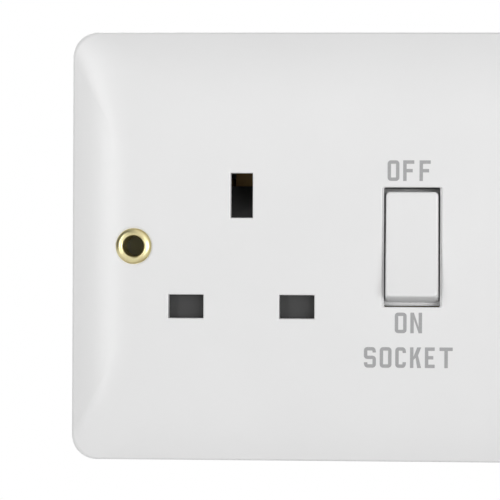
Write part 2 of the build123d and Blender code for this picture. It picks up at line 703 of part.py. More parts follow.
with BuildPart() as earth_pin_contact:
    with BuildSketch(facing(STRIP_BACK_Y)):
        panel(SOCKET_X - JAW_ROOT, EARTH_Z - EARTH_JAW_W / 2, SOCKET_X + JAW_ROOT, EARTH_Z + EARTH_JAW_W / 2)
    extrude(amount=STRIP_T)
    seat = Plane(origin=(SOCKET_X, STRIP_Y, EARTH_Z), x_dir=(0, 1, 0), z_dir=(0, 0, 1))
    jaw = jaw_profile(seat, EARTH_JAW_L)
    extrude(jaw, amount=EARTH_JAW_W / 2, both=True)

    # Tail: up behind the deck, forward under the housing's top wall and up to the earth strap
    with BuildSketch(Plane.YZ.offset(SOCKET_X)):
        panel(STRIP_Y, EARTH_Z, STRIP_BACK_Y, TAIL_Z)
        panel(STRAP_BACK_Y, TAIL_Z, STRIP_BACK_Y, TAIL_Z + STRIP_T)
        panel(STRAP_BACK_Y, TAIL_Z, STRAP_BACK_Y + STRIP_T, STRAP_Z + STRAP_W / 2)
    extrude(amount=STRIP_W / 2, both=True)
save(earth_pin_contact, "earth_pin_contact")

with BuildPart() as earth_strap:
    with BuildSketch(facing(STRAP_BACK_Y)):
        panel(STRAP_LEFT - STRAP_W, 0, STRAP_RIGHT + STRAP_W, STRAP_Z + STRAP_W / 2)
        panel(STRAP_LEFT, 0, STRAP_RIGHT, STRAP_Z - STRAP_W / 2, Mode.SUBTRACT)
        with GridLocations(FIXING_PITCH, 0, 2, 1):
            Circle(STRAP_EYE_R)
            Circle(EYELET_R + RUN_GAP, mode=Mode.SUBTRACT)
    extrude(amount=STRAP_T)
    corners = earth_strap.edges().filter_by(Axis.Y).group_by(Axis.Z)[-1]
    fillet(corners, STRAP_BEND_R)
save(earth_strap, "earth_strap")

# Shutter: a blade over the line and neutral slots, and a ramp that the earth pin pushes down
RAMP_LOW = EARTH_Z - EARTH_SLOT_H / 2
RAMP_TOP = EARTH_Z - EARTH_PIN_H / 2 + SHUTTER_TRAVEL
RAMP_BACK_Y = SHUTTER_Y + WEDGE_DEPTH
WINDOW_Z0 = LINE_Z + WINDOW_LOW
WINDOW_Z1 = RAMP_LOW - WINDOW_TOP
PEG_Z = WINDOW_Z0 + RUN_GAP + PEG_H

with BuildPart() as shutter:
    with BuildSketch(facing(SHUTTER_BACK_Y)):
        panel(BLADE_LEFT, LINE_Z - BLADE_H / 2, BLADE_RIGHT, LINE_Z + BLADE_H / 2)
        panel(SOCKET_X - STEM_BLADE_W / 2, LINE_Z, SOCKET_X + STEM_BLADE_W / 2, RAMP_LOW)
        panel(SOCKET_X - WINDOW_W / 2, WINDOW_Z0, SOCKET_X + WINDOW_W / 2, WINDOW_Z1, Mode.SUBTRACT)
    extrude(amount=SHUTTER_T)
    with BuildSketch(Plane.YZ.offset(SOCKET_X)):
        with BuildLine():
            Polyline((SHUTTER_Y, RAMP_LOW), (RAMP_BACK_Y, RAMP_TOP), (RAMP_BACK_Y, RAMP_LOW - WEDGE_ROOT),
                     (SHUTTER_Y, RAMP_LOW - WEDGE_ROOT), close=True)
        make_face()
    extrude(amount=WEDGE_W / 2, both=True)
save(shutter, "shutter")

DECK_LEFT = HOUSING_LEFT + HOUSING_WALL + PASS_GAP
with BuildPart() as shutter_deck:
    with BuildSketch(facing(DECK_BACK_Y)):
        panel(DECK_LEFT, -DECK_H / 2, DECK_RIGHT, DECK_H / 2)
        with Locations((-FIXING_PITCH / 2, 0)):
            Circle(FIXING_NOTCH_R + HOUSING_WALL + PASS_GAP, mode=Mode.SUBTRACT)
        with Locations((NEUTRAL_X, LINE_Z), (LIVE_X, LINE_Z)):
            Rectangle(LINE_SLOT_W + 2 * PASS_GAP, LINE_SLOT_H + 2 * PASS_GAP, mode=Mode.SUBTRACT)
        panel(SOCKET_X - WEDGE_W / 2 - PASS_GAP, RAMP_LOW - WEDGE_ROOT - SHUTTER_TRAVEL - PASS_GAP,
              SOCKET_X + WEDGE_W / 2 + PASS_GAP, EARTH_Z + EARTH_SLOT_H / 2 + PASS_GAP, Mode.SUBTRACT)
    extrude(amount=DECK_T)

    # Rails beside the shutter's stem and a peg for its spring
    with BuildSketch(facing(DECK_Y)):
        for hand in (-1, 1):
            rail_x = SOCKET_X + hand * (STEM_BLADE_W / 2 + PASS_GAP)
            rail_z = LINE_Z + BLADE_H / 2 + SEAT_GAP
            panel(rail_x, rail_z, rail_x + hand * RAIL_T, rail_z + RAIL_L)
        panel(SOCKET_X - PEG_W / 2, PEG_Z - PEG_H, SOCKET_X + PEG_W / 2, PEG_Z)
    extrude(amount=DECK_Y - SHUTTER_Y)
save(shutter_deck, "shutter_deck")

shutter_spring_base = Plane(origin=(SOCKET_X, (SHUTTER_Y + SHUTTER_BACK_Y) / 2, PEG_Z), z_dir=(0, 0, 1))
make_coil(shutter_spring_base, WINDOW_Z1 - PEG_Z, SHUTTER_COIL_R, SHUTTER_WIRE_R, "shutter_spring")


def make_terminal(x, z, name):
    """Brass tunnel terminal: a block bored up and down for the wire and tapped from behind."""
    with BuildPart() as terminal:
        with BuildSketch(facing(REAR_IN_Y)):
            with Locations((x, z)):
                Rectangle(TERMINAL_W, TERMINAL_H)
        extrude(amount=TERMINAL_D)
        with BuildSketch(Plane.XY.offset(z - TERMINAL_H / 2)):
            with Locations((x, TERMINAL_Y)):
                Circle(TERMINAL_BORE_R)
        extrude(amount=TERMINAL_H, mode=Mode.SUBTRACT)
        with BuildSketch(facing(REAR_IN_Y)):
            with Locations((x, z)):
                Circle(TERMINAL_SCREW_R + RUN_GAP)
        extrude(amount=REAR_IN_Y - TERMINAL_Y, mode=Mode.SUBTRACT)
    save(terminal, name)


make_terminal(LIVE_POLE_X, -TERMINAL_Z, "supply_live_terminal")
make_terminal(NEUTRAL_POLE_X, -TERMINAL_Z, "supply_neutral_terminal")
make_terminal(LIVE_POLE_X, TERMINAL_Z, "load_live_terminal")
make_terminal(NEUTRAL_POLE_X, TERMINAL_Z, "load_neutral_terminal")

# Slotted clamp screws, backed off so that the wire bores stay clear
TERMINAL_TIP_Y = TERMINAL_Y + TERMINAL_BORE_R + PASS_GAP
TERMINAL_SCREW_BACK_Y = REAR_Y - PASS_GAP
with BuildPart() as terminal_screws:
    with BuildSketch(facing(TERMINAL_SCREW_BACK_Y)):
        with Locations((COOKER_SWITCH_X, 0)):
            with GridLocations(POLE_PITCH, 2 * TERMINAL_Z, 2, 2):
                Circle(TERMINAL_SCREW_R)
    extrude(amount=TERMINAL_SCREW_BACK_Y - TERMINAL_TIP_Y)
    with BuildSketch(facing(TERMINAL_SCREW_BACK_Y)):
        with Locations((COOKER_SWITCH_X, 0)):
            with GridLocations(POLE_PITCH, 2 * TERMINAL_Z, 2, 2):
                Rectangle(2 * TERMINAL_SCREW_R, SCREW_SLOT_W)
    extrude(amount=SCREW_SLOT_D, mode=Mode.SUBTRACT)
save(terminal_screws, "terminal_screws")

EARTH_BLOCK_BACK_Y = STRAP_BACK_Y + EARTH_TERMINAL_D
EARTH_BORE_Y = STRAP_BACK_Y + EARTH_TERMINAL_D / 2
EARTH_TIP_Y = EARTH_BORE_Y + EARTH_BORE_R + PASS_GAP


def make_earth_terminal(x, name):
    """Earth terminal block on the rear of the strap, bored upwards and tapped from behind."""
    with BuildPart() as terminal:
        with BuildSketch(facing(EARTH_BLOCK_BACK_Y)):
            with Locations((x, STRAP_Z)):
                Rectangle(EARTH_TERMINAL_W, EARTH_TERMINAL_W)
        extrude(amount=EARTH_TERMINAL_D)
        with BuildSketch(Plane.XY.offset(STRAP_Z - EARTH_TERMINAL_W / 2)):
            with Locations((x, EARTH_BORE_Y)):
                Circle(EARTH_BORE_R)
        extrude(amount=EARTH_TERMINAL_W, mode=Mode.SUBTRACT)
        with BuildSketch(facing(EARTH_BLOCK_BACK_Y)):
            with Locations((x, STRAP_Z)):
                Circle(EARTH_SCREW_R + RUN_GAP)
        extrude(amount=EARTH_TERMINAL_D / 2, mode=Mode.SUBTRACT)
    save(terminal, name)


make_earth_terminal(EARTH_TERMINAL_X - EARTH_TERMINAL_PITCH / 2, "left_earth_terminal")
make_earth_terminal(EARTH_TERMINAL_X + EARTH_TERMINAL_PITCH / 2, "right_earth_terminal")

EARTH_SCREW_BACK_Y = EARTH_BLOCK_BACK_Y + SCREW_SLOT_D
with BuildPart() as earth_screws:
    with BuildSketch(facing(EARTH_SCREW_BACK_Y)):
        with Locations((EARTH_TERMINAL_X, STRAP_Z)):
            with GridLocations(EARTH_TERMINAL_PITCH, 0, 2, 1):
                Circle(EARTH_SCREW_R)
    extrude(amount=EARTH_SCREW_BACK_Y - EARTH_TIP_Y)
    with BuildSketch(facing(EARTH_SCREW_BACK_Y)):
        with Locations((EARTH_TERMINAL_X, STRAP_Z)):
            with GridLocations(EARTH_TERMINAL_PITCH, 0, 2, 1):
                Rectangle(2 * EARTH_SCREW_R, SCREW_SLOT_W)
    extrude(amount=SCREW_SLOT_D, mode=Mode.SUBTRACT)
save(earth_screws, "earth_screws")


def housing_outline(inset, y, left=HOUSING_LEFT):
    """Outline of the rear housing right of left, notched round the fixing holes, moved in by a wall."""
    with BuildSketch(facing(y)) as outline:
        with Locations((HOUSING_X, 0)):
            RectangleRounded(HOUSING_W - 2 * inset, HOUSING_H - 2 * inset, HOUSING_CORNER_R - inset)
        with GridLocations(FIXING_PITCH, 0, 2, 1):
            Circle(FIXING_NOTCH_R + inset, mode=Mode.SUBTRACT)
        if left > HOUSING_LEFT:
            panel(HOUSING_LEFT, -HOUSING_H / 2, left, HOUSING_H / 2, Mode.SUBTRACT)
    return outline.sketch


# Ribs and posts grow from the middle of the housing's rear wall up to the piece that they carry
ROOT_Y = REAR_Y - HOUSING_WALL / 2
SOCKET_TIP_Z = closed_tip(SOCKET_SWITCH)[1]
LINK_LOW = LINK_Z - STRIP_W / 2 - PASS_GAP
LINK_HIGH = LINK_Z + STRIP_W / 2 + PASS_GAP
LINK_BACK_Y = LINK_Y + STRIP_T

# The socket's side of the housing is shallower than the switch's, which holds the terminals
STEP_IN_Y = LINK_BACK_Y + SEAT_GAP
STEP_Y = STEP_IN_Y + HOUSING_WALL
STEP_X = LIVE_POLE_X - TERMINAL_W / 2 - SEAT_GAP - HOUSING_WALL
WELL_LEFT = STEP_X + HOUSING_WALL

with BuildPart() as rear_housing:
    extrude(housing_outline(0, REAR_Y), amount=REAR_Y - HOUSING_FRONT_Y)
    extrude(housing_outline(HOUSING_WALL, STEP_IN_Y), amount=STEP_IN_Y - HOUSING_FRONT_Y, mode=Mode.SUBTRACT)
    extrude(housing_outline(HOUSING_WALL, REAR_IN_Y, WELL_LEFT), amount=REAR_IN_Y - STEP_IN_Y,
            mode=Mode.SUBTRACT)

    # Screw bosses, ledges under the deck's left edge and the partition that carries its right edge
    with BuildSketch(facing(ROOT_Y)):
        with Locations(*SCREW_PLACES):
            Circle(BOSS_R)
    extrude(amount=ROOT_Y - JOIN_Y)
    with BuildSketch(facing(DECK_BACK_Y + LEDGE_L)):
        for up in (-1, 1):
            panel(HOUSING_LEFT + HOUSING_WALL / 2, up * (DECK_H / 2 - LEDGE_H),
                  DECK_LEFT + LEDGE_W, up * DECK_H / 2)
    extrude(amount=LEDGE_L)
    with BuildSketch(facing(ROOT_Y)):
        panel(PARTITION_X - PARTITION_T / 2, -INSIDE_H / 2, PARTITION_X + PARTITION_T / 2, INSIDE_H / 2)
    extrude(amount=ROOT_Y - DECK_BACK_Y)
    with BuildSketch(facing(ROOT_Y)):
        panel(COOKER_SWITCH_X - PARTITION_T / 2, -INSIDE_H / 2,
              COOKER_SWITCH_X + PARTITION_T / 2, INSIDE_H / 2)
    extrude(amount=ROOT_Y - BARRIER_Y)

    # Ways through the partition and the barrier for the strips
    with BuildSketch(facing(STRIP_BACK_Y)):
        panel(PARTITION_X - PARTITION_T, SOCKET_TIP_Z - STRIP_W / 2 - PASS_GAP,
              PARTITION_X + PARTITION_T, SOCKET_TIP_Z + STRIP_W / 2 + PASS_GAP)
    extrude(amount=STRIP_BACK_Y - DECK_BACK_Y, mode=Mode.SUBTRACT)
    with BuildSketch(facing(LINK_BACK_Y)):
        panel(PARTITION_X - PARTITION_T, LINK_LOW, PARTITION_X + PARTITION_T, LINK_HIGH)
        panel(COOKER_SWITCH_X - PARTITION_T, LINK_LOW, COOKER_SWITCH_X + PARTITION_T, LINK_HIGH)
    extrude(amount=LINK_BACK_Y - DECK_BACK_Y, mode=Mode.SUBTRACT)

    # Ribs under the strips and the link
    with BuildSketch(facing(ROOT_Y)):
        panel(LIVE_X - RIB_T / 2, LINK_HIGH + RIB_T, LIVE_X + RIB_T / 2, SOCKET_TIP_Z + RIB_T / 2)
        panel(LIVE_X, SOCKET_TIP_Z - RIB_T / 2, SOCKET_SWITCH_X + STRIP_W / 2, SOCKET_TIP_Z + RIB_T / 2)
        panel(SOCKET_SWITCH_X - STRIP_W / 2, -RIB_T / 2, LIVE_POLE_X + POLE_W / 2, RIB_T / 2)
        panel(NEUTRAL_POLE_X - POLE_W / 2, -RIB_T / 2, NEUTRAL_POLE_X + POLE_W / 2, RIB_T / 2)
        panel(SOCKET_X - JAW_ROOT, EARTH_Z - RIB_T / 2, SOCKET_X + JAW_ROOT, EARTH_Z + RIB_T / 2)
    extrude(amount=ROOT_Y - STRIP_BACK_Y)
    with BuildSketch(facing(ROOT_Y)):
        panel(NEUTRAL_X - RIB_T / 2, LINK_Z - STRIP_W / 2, NEUTRAL_X + RIB_T / 2, LINK_Z + STRIP_W / 2)
    extrude(amount=ROOT_Y - STRIP_BACK_Y - STRIP_T)
    with BuildSketch(facing(ROOT_Y)):
        for rib_x in (SOCKET_X, SOCKET_SWITCH_X):
            panel(rib_x - RIB_T / 2, LINK_Z - STRIP_W / 2, rib_x + RIB_T / 2, LINK_Z + STRIP_W / 2)
    extrude(amount=ROOT_Y - LINK_BACK_Y)

    # Holes for the housing screws, their heads and the drivers of the clamp screws
    with BuildSketch(facing(REAR_Y)):
        with Locations(*SCREW_PLACES):
            Circle(SCREW_R + PASS_GAP)
    extrude(amount=REAR_Y - JOIN_Y, mode=Mode.SUBTRACT)
    with BuildSketch(facing(REAR_Y)):
        with Locations(*SCREW_PLACES):
            Circle(SCREW_HEAD_R + PASS_GAP)
    extrude(amount=REAR_Y - HEAD_SEAT_Y, mode=Mode.SUBTRACT)
    with BuildSketch(facing(REAR_Y)):
        with Locations((COOKER_SWITCH_X, 0)):
            with GridLocations(POLE_PITCH, 2 * TERMINAL_Z, 2, 2):
                Circle(DRIVER_HOLE_R)
    extrude(amount=HOUSING_WALL, mode=Mode.SUBTRACT)

    # Cable holes in the top and bottom walls, and the notch for the earth tail
    with BuildSketch(Plane.XY.offset(-HOUSING_H / 2)):
        with Locations((LIVE_POLE_X, TERMINAL_Y), (NEUTRAL_POLE_X, TERMINAL_Y)):
            Circle(CABLE_HOLE_R)
    extrude(amount=HOUSING_WALL, mode=Mode.SUBTRACT)
    with BuildSketch(Plane.XY.offset(INSIDE_H / 2)):
        with Locations((LIVE_POLE_X, TERMINAL_Y), (NEUTRAL_POLE_X, TERMINAL_Y)):
            Circle(CABLE_HOLE_R)
        panel(SOCKET_X - STRIP_W / 2 - PASS_GAP, HOUSING_FRONT_Y, SOCKET_X + STRIP_W / 2 + PASS_GAP,
              STRAP_BACK_Y + STRIP_T + PASS_GAP)
    extrude(amount=HOUSING_WALL, mode=Mode.SUBTRACT)

    # Step behind the socket, and rounded rear edges
    with BuildSketch(facing(REAR_Y)):
        panel(HOUSING_LEFT, -HOUSING_H / 2, STEP_X, HOUSING_H / 2)
    extrude(amount=REAR_Y - STEP_Y, mode=Mode.SUBTRACT)
    rear_faces = rear_housing.faces().filter_by(Plane.XZ).sort_by(SortBy.AREA)
    rear = rear_faces.filter_by_position(Axis.Y, REAR_Y, REAR_Y)[-1]
    step = rear_faces.filter_by_position(Axis.Y, STEP_Y, STEP_Y)[-1]
    inner_corner = step.outer_wire().edges().sort_by(Axis.X)[-1]
    rounded = rear.outer_wire().edges() + [edge for edge in step.outer_wire().edges() if edge != inner_corner]
    fillet(rounded, HOUSING_EDGE_R)
save(rear_housing, "rear_housing")

with BuildPart() as housing_screws:
    with BuildSketch(facing(HEAD_SEAT_Y)):
        with Locations(*SCREW_PLACES):
            Circle(SCREW_R)
    extrude(amount=SCREW_L)
    with BuildSketch(facing(HEAD_SEAT_Y + SCREW_HEAD_H)):
        with Locations(*SCREW_PLACES):
            Circle(SCREW_HEAD_R)
    extrude(amount=SCREW_HEAD_H)
    with BuildSketch(facing(HEAD_SEAT_Y + SCREW_HEAD_H)):
        with Locations(*SCREW_PLACES):
            Rectangle(2 * SCREW_HEAD_R, SCREW_SLOT_W)
    extrude(amount=SCREW_SLOT_D, mode=Mode.SUBTRACT)
save(housing_screws, "housing_screws")
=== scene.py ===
import json
import math

import bmesh
import bpy
from bpy.props import FloatProperty, FloatVectorProperty, IntProperty, PointerProperty
from bpy.types import Operator, Panel, PropertyGroup
from mathutils import Matrix, Vector


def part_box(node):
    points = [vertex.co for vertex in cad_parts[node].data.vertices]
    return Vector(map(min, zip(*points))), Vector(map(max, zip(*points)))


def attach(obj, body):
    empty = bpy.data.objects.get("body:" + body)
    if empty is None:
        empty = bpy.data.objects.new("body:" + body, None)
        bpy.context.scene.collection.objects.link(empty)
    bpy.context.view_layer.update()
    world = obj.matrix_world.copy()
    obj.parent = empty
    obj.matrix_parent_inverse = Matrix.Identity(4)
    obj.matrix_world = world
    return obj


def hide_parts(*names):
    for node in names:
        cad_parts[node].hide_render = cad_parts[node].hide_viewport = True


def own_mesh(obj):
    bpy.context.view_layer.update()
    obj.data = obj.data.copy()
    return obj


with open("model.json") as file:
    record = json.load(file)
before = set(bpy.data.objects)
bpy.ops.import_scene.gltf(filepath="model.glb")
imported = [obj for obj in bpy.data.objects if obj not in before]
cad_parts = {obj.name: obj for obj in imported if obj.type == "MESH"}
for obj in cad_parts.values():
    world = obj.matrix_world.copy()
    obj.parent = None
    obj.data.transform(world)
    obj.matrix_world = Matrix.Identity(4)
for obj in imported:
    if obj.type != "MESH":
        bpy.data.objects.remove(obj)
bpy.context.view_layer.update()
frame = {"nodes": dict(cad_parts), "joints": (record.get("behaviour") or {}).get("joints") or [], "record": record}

bl_info = {
    "name": "Cooker Control Unit",
    "version": (1, 0, 0),
    "blender": (4, 5, 0),
    "location": "View3D > Sidebar > Cooker Unit",
    "description": "Finishes a wall plate that carries a cooker switch and a switched socket outlet",
    "category": "Object",
}

MM = 0.001
WHITE = (1.0, 1.0, 1.0, 1.0)

# The packed part, its bodies and its material slots
NODES = frame["nodes"]
JOINTS = {joint["name"]: joint for joint in frame["joints"]}
BODY_OF = {node: body for body, nodes in frame["record"]["behaviour"]["bodies"].items() for node in nodes}
BASE_COLOURS = {row["slot"]: row["base_color"] for row in frame["record"]["materials"]}
SLOT_OF = {name: node.data.materials[0].name for name, node in NODES.items()}
PLATE_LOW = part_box("front_plate")[0]
HOUSING_LOW, HOUSING_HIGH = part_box("rear_housing")
EYELETS = ("left_eyelet", "right_eyelet")
PLUNGERS = ("socket_plunger", "live_plunger", "neutral_plunger")
PIN_CONTACTS = ("earth_pin_contact", "neutral_pin_contact", "live_pin_contact")
EARTH_TERMINALS = ("left_earth_terminal", "right_earth_terminal")
TERMINALS = {
    "L": ("supply_live_terminal", "load_live_terminal"),
    "N": ("supply_neutral_terminal", "load_neutral_terminal"),
}

# Edges that stay sharp in smooth shading, and how near points merge, in metres
SHARP_ANGLE = math.radians(35.0)
WELD = 1e-7

# Fineness of the meshes
WIRE_SIDES = 10
COIL_STEPS = 24
THREAD_STEPS = 28
HEAD_STEPS = 40
STROKE_STEPS = 8
FLOOR_SIDES = 96
DISC_SIDES = 32

# A spring's wire over its coil in radius, and a thread's depth over its pitch
WIRE_SHARE = 0.14
THREAD_SHARE = 0.54

# Half profile of a pan head from its underside, in shares of its radius and height
HEAD_PROFILE = ((0.94, 0.0), (1.0, 0.12), (1.0, 0.6), (0.95, 0.8), (0.82, 0.94))

# Turn of the first screw's slot, and from one screw to the next, in radians
FIRST_SLOT = 0.7
SLOT_TURN = 1.9

# Depth of the lines, rings and mottle on metal and ink, and of the die marks on wire
FINE_RELIEF = 0.004 * MM
WIRE_RELIEF = 0.003 * MM

# Widths of the printed capitals and the gaps after them, in millimetres
LETTER_WIDTHS = {"O": 2.35, "F": 2.2, "N": 2.32, "S": 2.4, "C": 2.13, "K": 2.2, "E": 1.95, "T": 2.62}
LETTER_GAPS = {"O": 0.75, "S": 0.75, "F": 1.05, "C": 0.8, "K": 0.75}
USUAL_GAP = 0.95
ROUND_LETTERS = "OCS"

# A moulded letter's width over its height
MARK_SHAPE = 0.64

# The earth symbol's stroke over a letter's, and its bars' pitch and lengths over its height, lowest first
EARTH_STROKE = 0.8
EARTH_PITCH = 0.25
EARTH_BARS = (0.3, 0.65, 1.0)

# Where the lights stand, and how wide and tall they are, in metres
KEY_PLACE = Vector((-0.55, -0.80, 0.0))
KEY_SIZE = (0.20, 1.00)
FILL_PLACE = Vector((0.52, -0.85, -0.05))
FILL_SIZE = (0.60, 0.40)
BACK_PLACE = Vector((-0.45, 0.85, 0.45))
BACK_SIZE = (0.70, 0.70)

# Direction in which mirrored rays meet a darker surround, and the cosines between which it fades
DIM_SIDE = Vector((-0.81, -0.49, 0.33))
DIM_FROM = 0.35
DIM_TO = 0.85

# Shares of the floor's radius between which it fades to white
FADE_FROM = 0.35
FADE_TO = 0.9


def colour(name, description, default):
    """A colour property."""
    return FloatVectorProperty(name=name, description=description, subtype="COLOR", size=3,
                               min=0.0, max=1.0, default=default)


def length(name, description, millimetres):
    """A length property with its default in millimetres."""
    return FloatProperty(name=name, description=description, default=millimetres * MM,
                         unit="LENGTH", precision=5)


def share(name, description, default):
    """A property between nought and one."""
    return FloatProperty(name=name, description=description, default=default,
                         min=0.0, max=1.0, subtype="FACTOR")


def power(name, description, watts):
    """A light's power property."""
    return FloatProperty(name=name, description=description, default=watts, unit="POWER")


def angle(name, description, degrees):
    """An angle property with its default in degrees."""
    return FloatProperty(name=name, description=description, default=math.radians(degrees), subtype="ANGLE")


class CookerUnitPlastics(PropertyGroup):
    """Colours and gloss of the mouldings."""

    white: colour("White", "Front plate and socket rocker", (0.80, 0.80, 0.80))
    red: colour("Red", "Cooker rocker", BASE_COLOURS["red_plastic"])
    housing: colour("Housing", "Rear housing and shutter deck", BASE_COLOURS["housing_plastic"])
    shutter: colour("Shutter", "Shutter behind the pin slots", (0.034, 0.034, 0.034))
    nylon: colour("Nylon", "Plungers in the rocker stems", BASE_COLOURS["plunger_plastic"])
    gloss: share("Gloss roughness", "Roughness of the polished mouldings", 0.30)
    satin: share("Satin roughness", "Roughness of the spark-textured mouldings", 0.52)


class CookerUnitMetals(PropertyGroup):
    """Colours and gloss of the metal parts, and the form of their screws and springs."""

    brass: colour("Brass", "Terminals, strips and contact bars", BASE_COLOURS["brass"])
    eyelet: colour("Eyelet", "Pale brass of the fixing eyelets", (0.82, 0.74, 0.42))
    # Brass darkened to about a quarter as painted shade, for the pin contacts that sit in shade deep behind the
    # slots
    contact: colour("Contact", "Dull brass of the pin contacts", (0.21, 0.135, 0.06))
    tarnish: colour("Tarnish", "Dull patches on the brass", (0.42, 0.26, 0.10))
    zinc: colour("Zinc", "Plated strap and screws", BASE_COLOURS["plated_steel"])
    wire: colour("Wire", "Springs", BASE_COLOURS["spring_steel"])
    brass_polish: share("Brass roughness", "Roughness of the terminals and strips", 0.24)
    contact_polish: share("Contact roughness", "Roughness of the pin contacts", 0.34)
    eyelet_polish: share("Eyelet roughness", "Roughness of the fixing eyelets", 0.25)
    zinc_polish: share("Zinc roughness", "Roughness of the plated strap and screws", 0.28)
    thread_pitch: length("Thread pitch", "Pitch of the screw threads", 0.7)
    slot_width: length("Slot width", "Width of the screwdriver slots", 0.8)
    slot_depth: length("Slot depth", "Depth of the screwdriver slots", 0.9)
    head_radius: length("Head radius", "Radius of the housing screws' heads", 2.8)
    head_height: length("Head height", "Height of the housing screws' heads", 2.0)
    shank_radius: length("Shank radius", "Radius of the housing screws' shanks", 1.45)
    spring_turns: IntProperty(name="Spring turns", description="Open turns of a spring", default=5, min=2)


class CookerUnitLettering(PropertyGroup):
    """The words printed beside the socket switch and the marks moulded by the terminals."""

    ink: colour("Ink", "Grey of the printed words", (0.37, 0.37, 0.375))
    cap_height: length("Cap height", "Height of the capitals", 4.1)
    stroke: length("Stroke", "Width of the strokes", 0.68)
    film: length("Film", "Thickness of the printed film", 0.03)
    shift: length("Shift", "How far the words stand left of the rocker's middle", 0.65)
    off_rise: length("OFF rise", "Base line of OFF above the rocker's middle", 13.2)
    on_drop: length("ON drop", "Base line of ON below the rocker's middle", 17.1)
    socket_drop: length("SOCKET drop", "Base line of SOCKET below the rocker's middle", 24.0)
    mark_height: length("Mark height", "Height of the moulded terminal marks", 3.0)
    mark_stroke: length("Mark stroke", "Width of the strokes of the moulded marks", 0.6)
    mark_rise: length("Mark rise", "Relief of the moulded terminal marks", 0.25)
    mark_reach: length("Mark reach", "From a terminal's middle to the foot of its mark", 5.0)


class CookerUnitStage(PropertyGroup):
    """Light, floor and camera."""

    sky: share("Sky", "Soft light from all round", 0.57)
    overhead: share("Overhead", "How much dimmer the soft light is overhead", 0.5)
    dim_side: share("Dim side", "Surround that metal mirrors at the front left", 0.10)
    key: power("Key", "Power of the light on the left", 3.4)
    fill: power("Fill", "Power of the light on the right", 4.6)
    back: power("Back", "Power of the light behind", 4.0)
    floor: colour("Floor", "Pale floor", (0.86, 0.86, 0.86))
    lift: share("Lift", "White that the camera sees in the floor, under the shadows", 0.5)
    floor_gap: length("Floor gap", "Height of the plate above the floor", 80.0)
    floor_radius: length("Floor radius", "Reach of the floor", 700.0)
    # Colour of the painted shade on the discs behind the fixing holes, and how far behind the eyelets they stand
    hole_shade_colour: colour("Hole dark", "Dark behind the fixing holes", (0.2, 0.21, 0.2))
    hole_gap: length("Hole gap", "From the eyelets to the dark behind them", 0.3)
    lens: FloatProperty(name="Lens", description="Focal length", default=213.4, unit="CAMERA")
    distance: length("Distance", "Camera's distance from the wall plane", 600.0)
    height: length("Height", "Camera's height above the plate's middle", 2.0)
    yaw: angle("Yaw", "Turn to the left", 3.575)
    pitch: angle("Pitch", "Tilt upwards", -0.26)
    roll: angle("Roll", "Turn about the view", -0.255)


class Wire:
    """A socket in a node tree. Arithmetic on it adds Math nodes."""

    def __init__(self, tree, socket=None):
        self.tree = tree
        self.socket = socket

    def node(self, kind, settings=None, inputs=None, out=0):
        """Add a node, set it up, feed its inputs with values or wires, and give one of its outputs."""
        made = self.tree.nodes.new(kind)
        for key, value in (settings or {}).items():
            if key == "stops":
                for stop, (position, grey) in zip(made.color_ramp.elements, value):
                    stop.position = position
                    stop.color = (grey, grey, grey, 1.0)
            else:
                setattr(made, key, value)
        for key, value in (inputs or {}).items():
            if isinstance(value, Wire):
                self.tree.links.new(value.socket, made.inputs[key])
            else:
                made.inputs[key].default_value = value
        return Wire(self.tree, made.outputs[out])

    def maths(self, operation, *values):
        """Math node on values or wires."""
        return self.node("ShaderNodeMath", {"operation": operation}, dict(enumerate(values)))

    def __add__(self, other):
        return self.maths("ADD", self, other)

    def __radd__(self, other):
        return self.maths("ADD", other, self)

    def __sub__(self, other):
        return self.maths("SUBTRACT", self, other)

    def __rsub__(self, other):
        return self.maths("SUBTRACT", other, self)

    def __mul__(self, other):
        return self.maths("MULTIPLY", self, other)

    def __rmul__(self, other):
        return self.maths("MULTIPLY", other, self)

    def mix(self, low, high):
        """Colour between two, with this wire as the factor."""
        factor, first, second, result = 0, 6, 7, 2
        inputs = {factor: self, first: low, second: high}
        return self.node("ShaderNodeMix", {"data_type": "RGBA"}, inputs, out=result)

    def noise(self, scale, detail, stretch=(1.0, 1.0, 1.0)):
        """Noise over the object, its scale in cells per metre, drawn out along the axes."""
        place = self.node("ShaderNodeTexCoord", out="Object")
        drawn_out = self.node("ShaderNodeMapping", inputs={"Vector": place, "Scale": stretch})
        inputs = {"Vector": drawn_out, "Scale": scale, "Detail": detail}
        return self.node("ShaderNodeTexNoise", inputs=inputs, out="Fac")

    def ramp(self, *stops):
        """Grey ramp of this wire between two stops."""
        return self.node("ShaderNodeValToRGB", {"stops": stops}, {"Fac": self}, out="Color")

    def bump(self, depth, base=None):
        """Surface normal of a height wire whose full range is depth metres, on top of another normal."""
        inputs = {"Height": self, "Distance": depth, "Strength": 1.0}
        if base:
            inputs["Normal"] = base
        return self.node("ShaderNodeBump", inputs=inputs, out="Normal")


def opaque(rgb, level=1.0):
    """A colour with its alpha, at a level of brightness."""
    return (rgb[0] * level, rgb[1] * level, rgb[2] * level, 1.0)


def new_finish(name, fixed):
    """A material with the shader's fixed sockets set, a wire to start from and a way into the shader."""
    material = bpy.data.materials.new(name)
    material.use_nodes = True
    tree = material.node_tree
    shader = tree.nodes["Principled BSDF"]
    for socket, value in fixed.items():
        shader.inputs[socket].default_value = value

    def feed(socket, wire):
        tree.links.new(wire.socket, shader.inputs[socket])

    return material, Wire(tree), feed


def moulded_plastic(name, rgb, roughness, peel, grain):
    """Moulded plastic: slow clouding, an orange-peel skin and a fine grain, depths in metres."""
    material, start, feed = new_finish(name, {"IOR": 1.5})
    cloud = start.noise(scale=45.0, detail=3.0)
    skin = start.noise(scale=750.0, detail=2.0)
    fine = start.noise(scale=5200.0, detail=2.0)
    feed("Base Color", cloud.mix(opaque(rgb, level=0.975), opaque(rgb, level=1.02)))
    feed("Roughness", roughness - 0.05 + 0.06 * cloud + 0.04 * fine)
    feed("Normal", fine.bump(grain, base=skin.bump(peel)))
    return material


